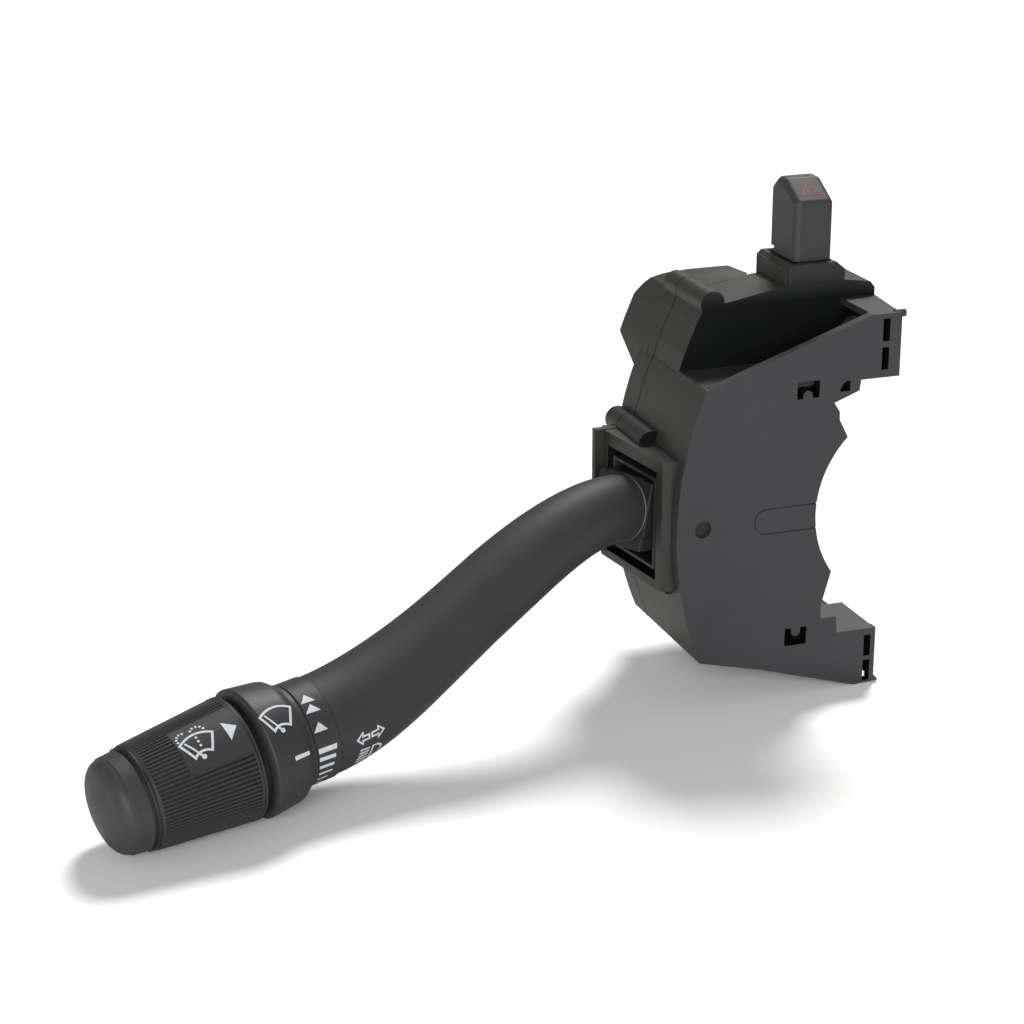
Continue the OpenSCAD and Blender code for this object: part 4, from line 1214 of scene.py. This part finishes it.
@dataclass
class Knob(Assembly):
    """The wiper collar, its black sleeve, the ribbed grip and the domed tip."""

    knob: KnobAxis

    SKINS = (
        Skin("wiper_collar", "collar_skin", "wiper_collar", Finish.KNOB, 0.25, 40.0),
        Skin("collar_sleeve", "sleeve_skin", "wiper_collar", Finish.BLACK, 0.1),
        Skin("knob_grip", "grip_skin", "washer_knob", Finish.GRIP, smooth=25.0),
        Skin("knob_tip", "tip_skin", "washer_knob", Finish.TIP, smooth=40.0))

    def build(self) -> None:
        """Dresses the turning and pushing pieces."""
        super().build()
        # the pushed grip just misses this ring
        ring = ((1.94, 13.0), (1.94, 14.9), (2.04, 15.1), (2.2, 15.1), (2.3, 14.9), (2.3, 13.0))
        self.shop.piece(self.knob.lathe(ring), "sleeve_ring", "wiper_collar", Finish.KNOB)
        # shadow lines of the grip's moulded steps
        for name, k, radius, width in (("grip_line_back", -0.85, 14.86, 0.3),
                                       ("grip_line_front", -25.75, 12.49, 0.28)):
            line = ((k, radius), (k, radius + 0.03), (k - width, radius + 0.03),
                    (k - width, radius))
            self.shop.piece(self.knob.lathe(line), name, "washer_knob", Finish.DARK_LINE)


@dataclass
class Buttons(Assembly):
    """The hazard button on its stem, and the cancelling pawl."""

    SKINS = (
        Skin("hazard_button", "button_skin", "hazard_button", Finish.KNOB, 0.1, 30.0),
        Skin("hazard_stem", "stem_skin", "hazard_button", Finish.BLACK, 0.15),
        Skin("cancel_pawl", "pawl_skin", "cancel_pawl", Finish.NATURAL, 0.15))


# Studio


@dataclass(frozen=True)
class Lamp:
    """A distant lamp.

    Args:
        name: its name.
        toward: where it shines from, seen from the switch.
        strength: its strength.
        spread: how wide it looks, in degrees.
        colour: its colour.
    """

    name: str
    toward: Triple
    strength: float
    spread: float
    colour: Triple

    def build(self) -> None:
        """Adds the lamp."""
        data = bpy.data.lights.new(self.name, "SUN")
        data.energy, data.color = self.strength, self.colour
        data.angle = math.radians(self.spread)
        lamp = bpy.data.objects.new(self.name, data)
        lamp.rotation_euler = Vector(self.toward).to_track_quat("Z", "Y").to_euler()
        bpy.context.scene.collection.objects.link(lamp)


@dataclass
class Studio:
    """Pale floor, soft lamps and the photograph's camera."""

    eye: Triple = (-260.0, -506.6, 204.2)
    azimuth: float = -19.4
    elevation: float = 19.8
    roll: float = 0.2
    lens: float = 84.375
    sensor: float = 36.0
    floor_size: float = 6.0
    floor_tones: Pair = (0.83, 0.85)
    seen_lift: float = 0.55  # added to the floor's tone where the camera looks at it
    glow: float = 0.18  # strength of the even light from all round
    lamps: tuple[Lamp, ...] = (
        Lamp("key", (46, 68, 100), 2.3, 18.0, (1.0, 0.99, 0.97)),
        Lamp("fill", (-45, -87, 14), 3.1, 55.0, (0.98, 0.99, 1.0)))

    def build(self) -> None:
        """Sets up everything that isn't the switch."""
        self._camera()
        self._floor()
        self._world()
        for lamp in self.lamps:
            lamp.build()
        bpy.context.scene.view_settings.view_transform = "Standard"

    def _camera(self) -> None:
        """Puts the camera where the photograph was taken from."""
        a, e, r = (math.radians(v) for v in (self.azimuth, self.elevation, self.roll))
        back = Vector((math.sin(a) * math.cos(e), -math.cos(a) * math.cos(e), math.sin(e)))
        right = (-back).cross(Vector((0, 0, 1))).normalized()
        up = right.cross(-back)
        tilt_right = right * math.cos(r) - up * math.sin(r)
        tilt_up = right * math.sin(r) + up * math.cos(r)
        turn = Matrix((tilt_right, tilt_up, back)).transposed().to_4x4()
        data = bpy.data.cameras.new("camera")
        data.lens, data.sensor_width, data.sensor_fit = self.lens, self.sensor, "HORIZONTAL"
        data.clip_start, data.clip_end = 0.01, 20.0
        camera = bpy.data.objects.new("camera", data)
        camera.matrix_world = Matrix.Translation(place(self.eye)) @ turn
        bpy.context.scene.collection.objects.link(camera)
        bpy.context.scene.camera = camera

    def _floor(self) -> None:
        """Lays the floor that the switch stands on."""
        bm = bmesh.new()
        bmesh.ops.create_grid(bm, x_segments=1, y_segments=1, size=self.floor_size)
        bmesh.ops.translate(bm, verts=bm.verts, vec=(0, 0, place((0, 0, FLOOR_Z)).z))
        mesh = bpy.data.meshes.new("floor")
        bm.to_mesh(mesh)
        bm.free()
        nodes = NodeMaker(bpy.data.materials.new("pale floor"))
        dark, light = ((tone,) * 3 for tone in self.floor_tones)
        colour = nodes.blend(nodes.noise(6.0), dark, light)
        matt = nodes.add("ShaderNodeBsdfDiffuse", None, {"Color": colour})
        # seen by the camera the floor is whiter, and keeps its shadow
        seen = nodes.add("ShaderNodeLightPath", output="Is Camera Ray")
        lift = nodes.blend(seen, (0.0,) * 3, (self.seen_lift,) * 3)
        extra = nodes.add("ShaderNodeBsdfDiffuse", None, {"Color": lift})
        nodes.close(nodes.add("ShaderNodeAddShader", None, {0: matt, 1: extra}))
        mesh.materials.append(nodes.owner)
        floor = bpy.data.objects.new("floor", mesh)
        bpy.context.scene.collection.objects.link(floor)

    def _world(self) -> None:
        """Even light from all round, and white where the camera sees past the floor."""
        world = bpy.data.worlds.new("studio")
        bpy.context.scene.world = world
        nodes = NodeMaker(world)
        seen = nodes.add("ShaderNodeLightPath", output="Is Camera Ray")
        soft, white = (nodes.add("ShaderNodeBackground", None,
                                 {"Color": (1.0, 1.0, 1.0, 1.0), "Strength": strength})
                       for strength in (self.glow, 1.0))
        mix = nodes.add("ShaderNodeMixShader", None, {0: seen, 1: soft, 2: white})
        nodes.close(mix, "ShaderNodeOutputWorld")


def main() -> None:
    """Builds the switch over its frame."""
    logging.basicConfig(level=logging.INFO, format="%(name)s: %(message)s")
    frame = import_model()
    shop = Workshop(frame)
    knob = KnobAxis()
    for part in (Studio(), Case(shop), Lever(shop), Knob(shop, knob), Buttons(shop)):
        part.build()
    for finish, nodes in SOLID_FINISH.items():
        for node in nodes:
            mesh = frame["nodes"][node].data
            mesh.materials.clear()
            mesh.materials.append(finish.material)
    Printer(shop, knob, StalkPath(knob)).build()
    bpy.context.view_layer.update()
    LOG.info("%d pieces made", shop.count)


if __name__ == "__main__":
    main()
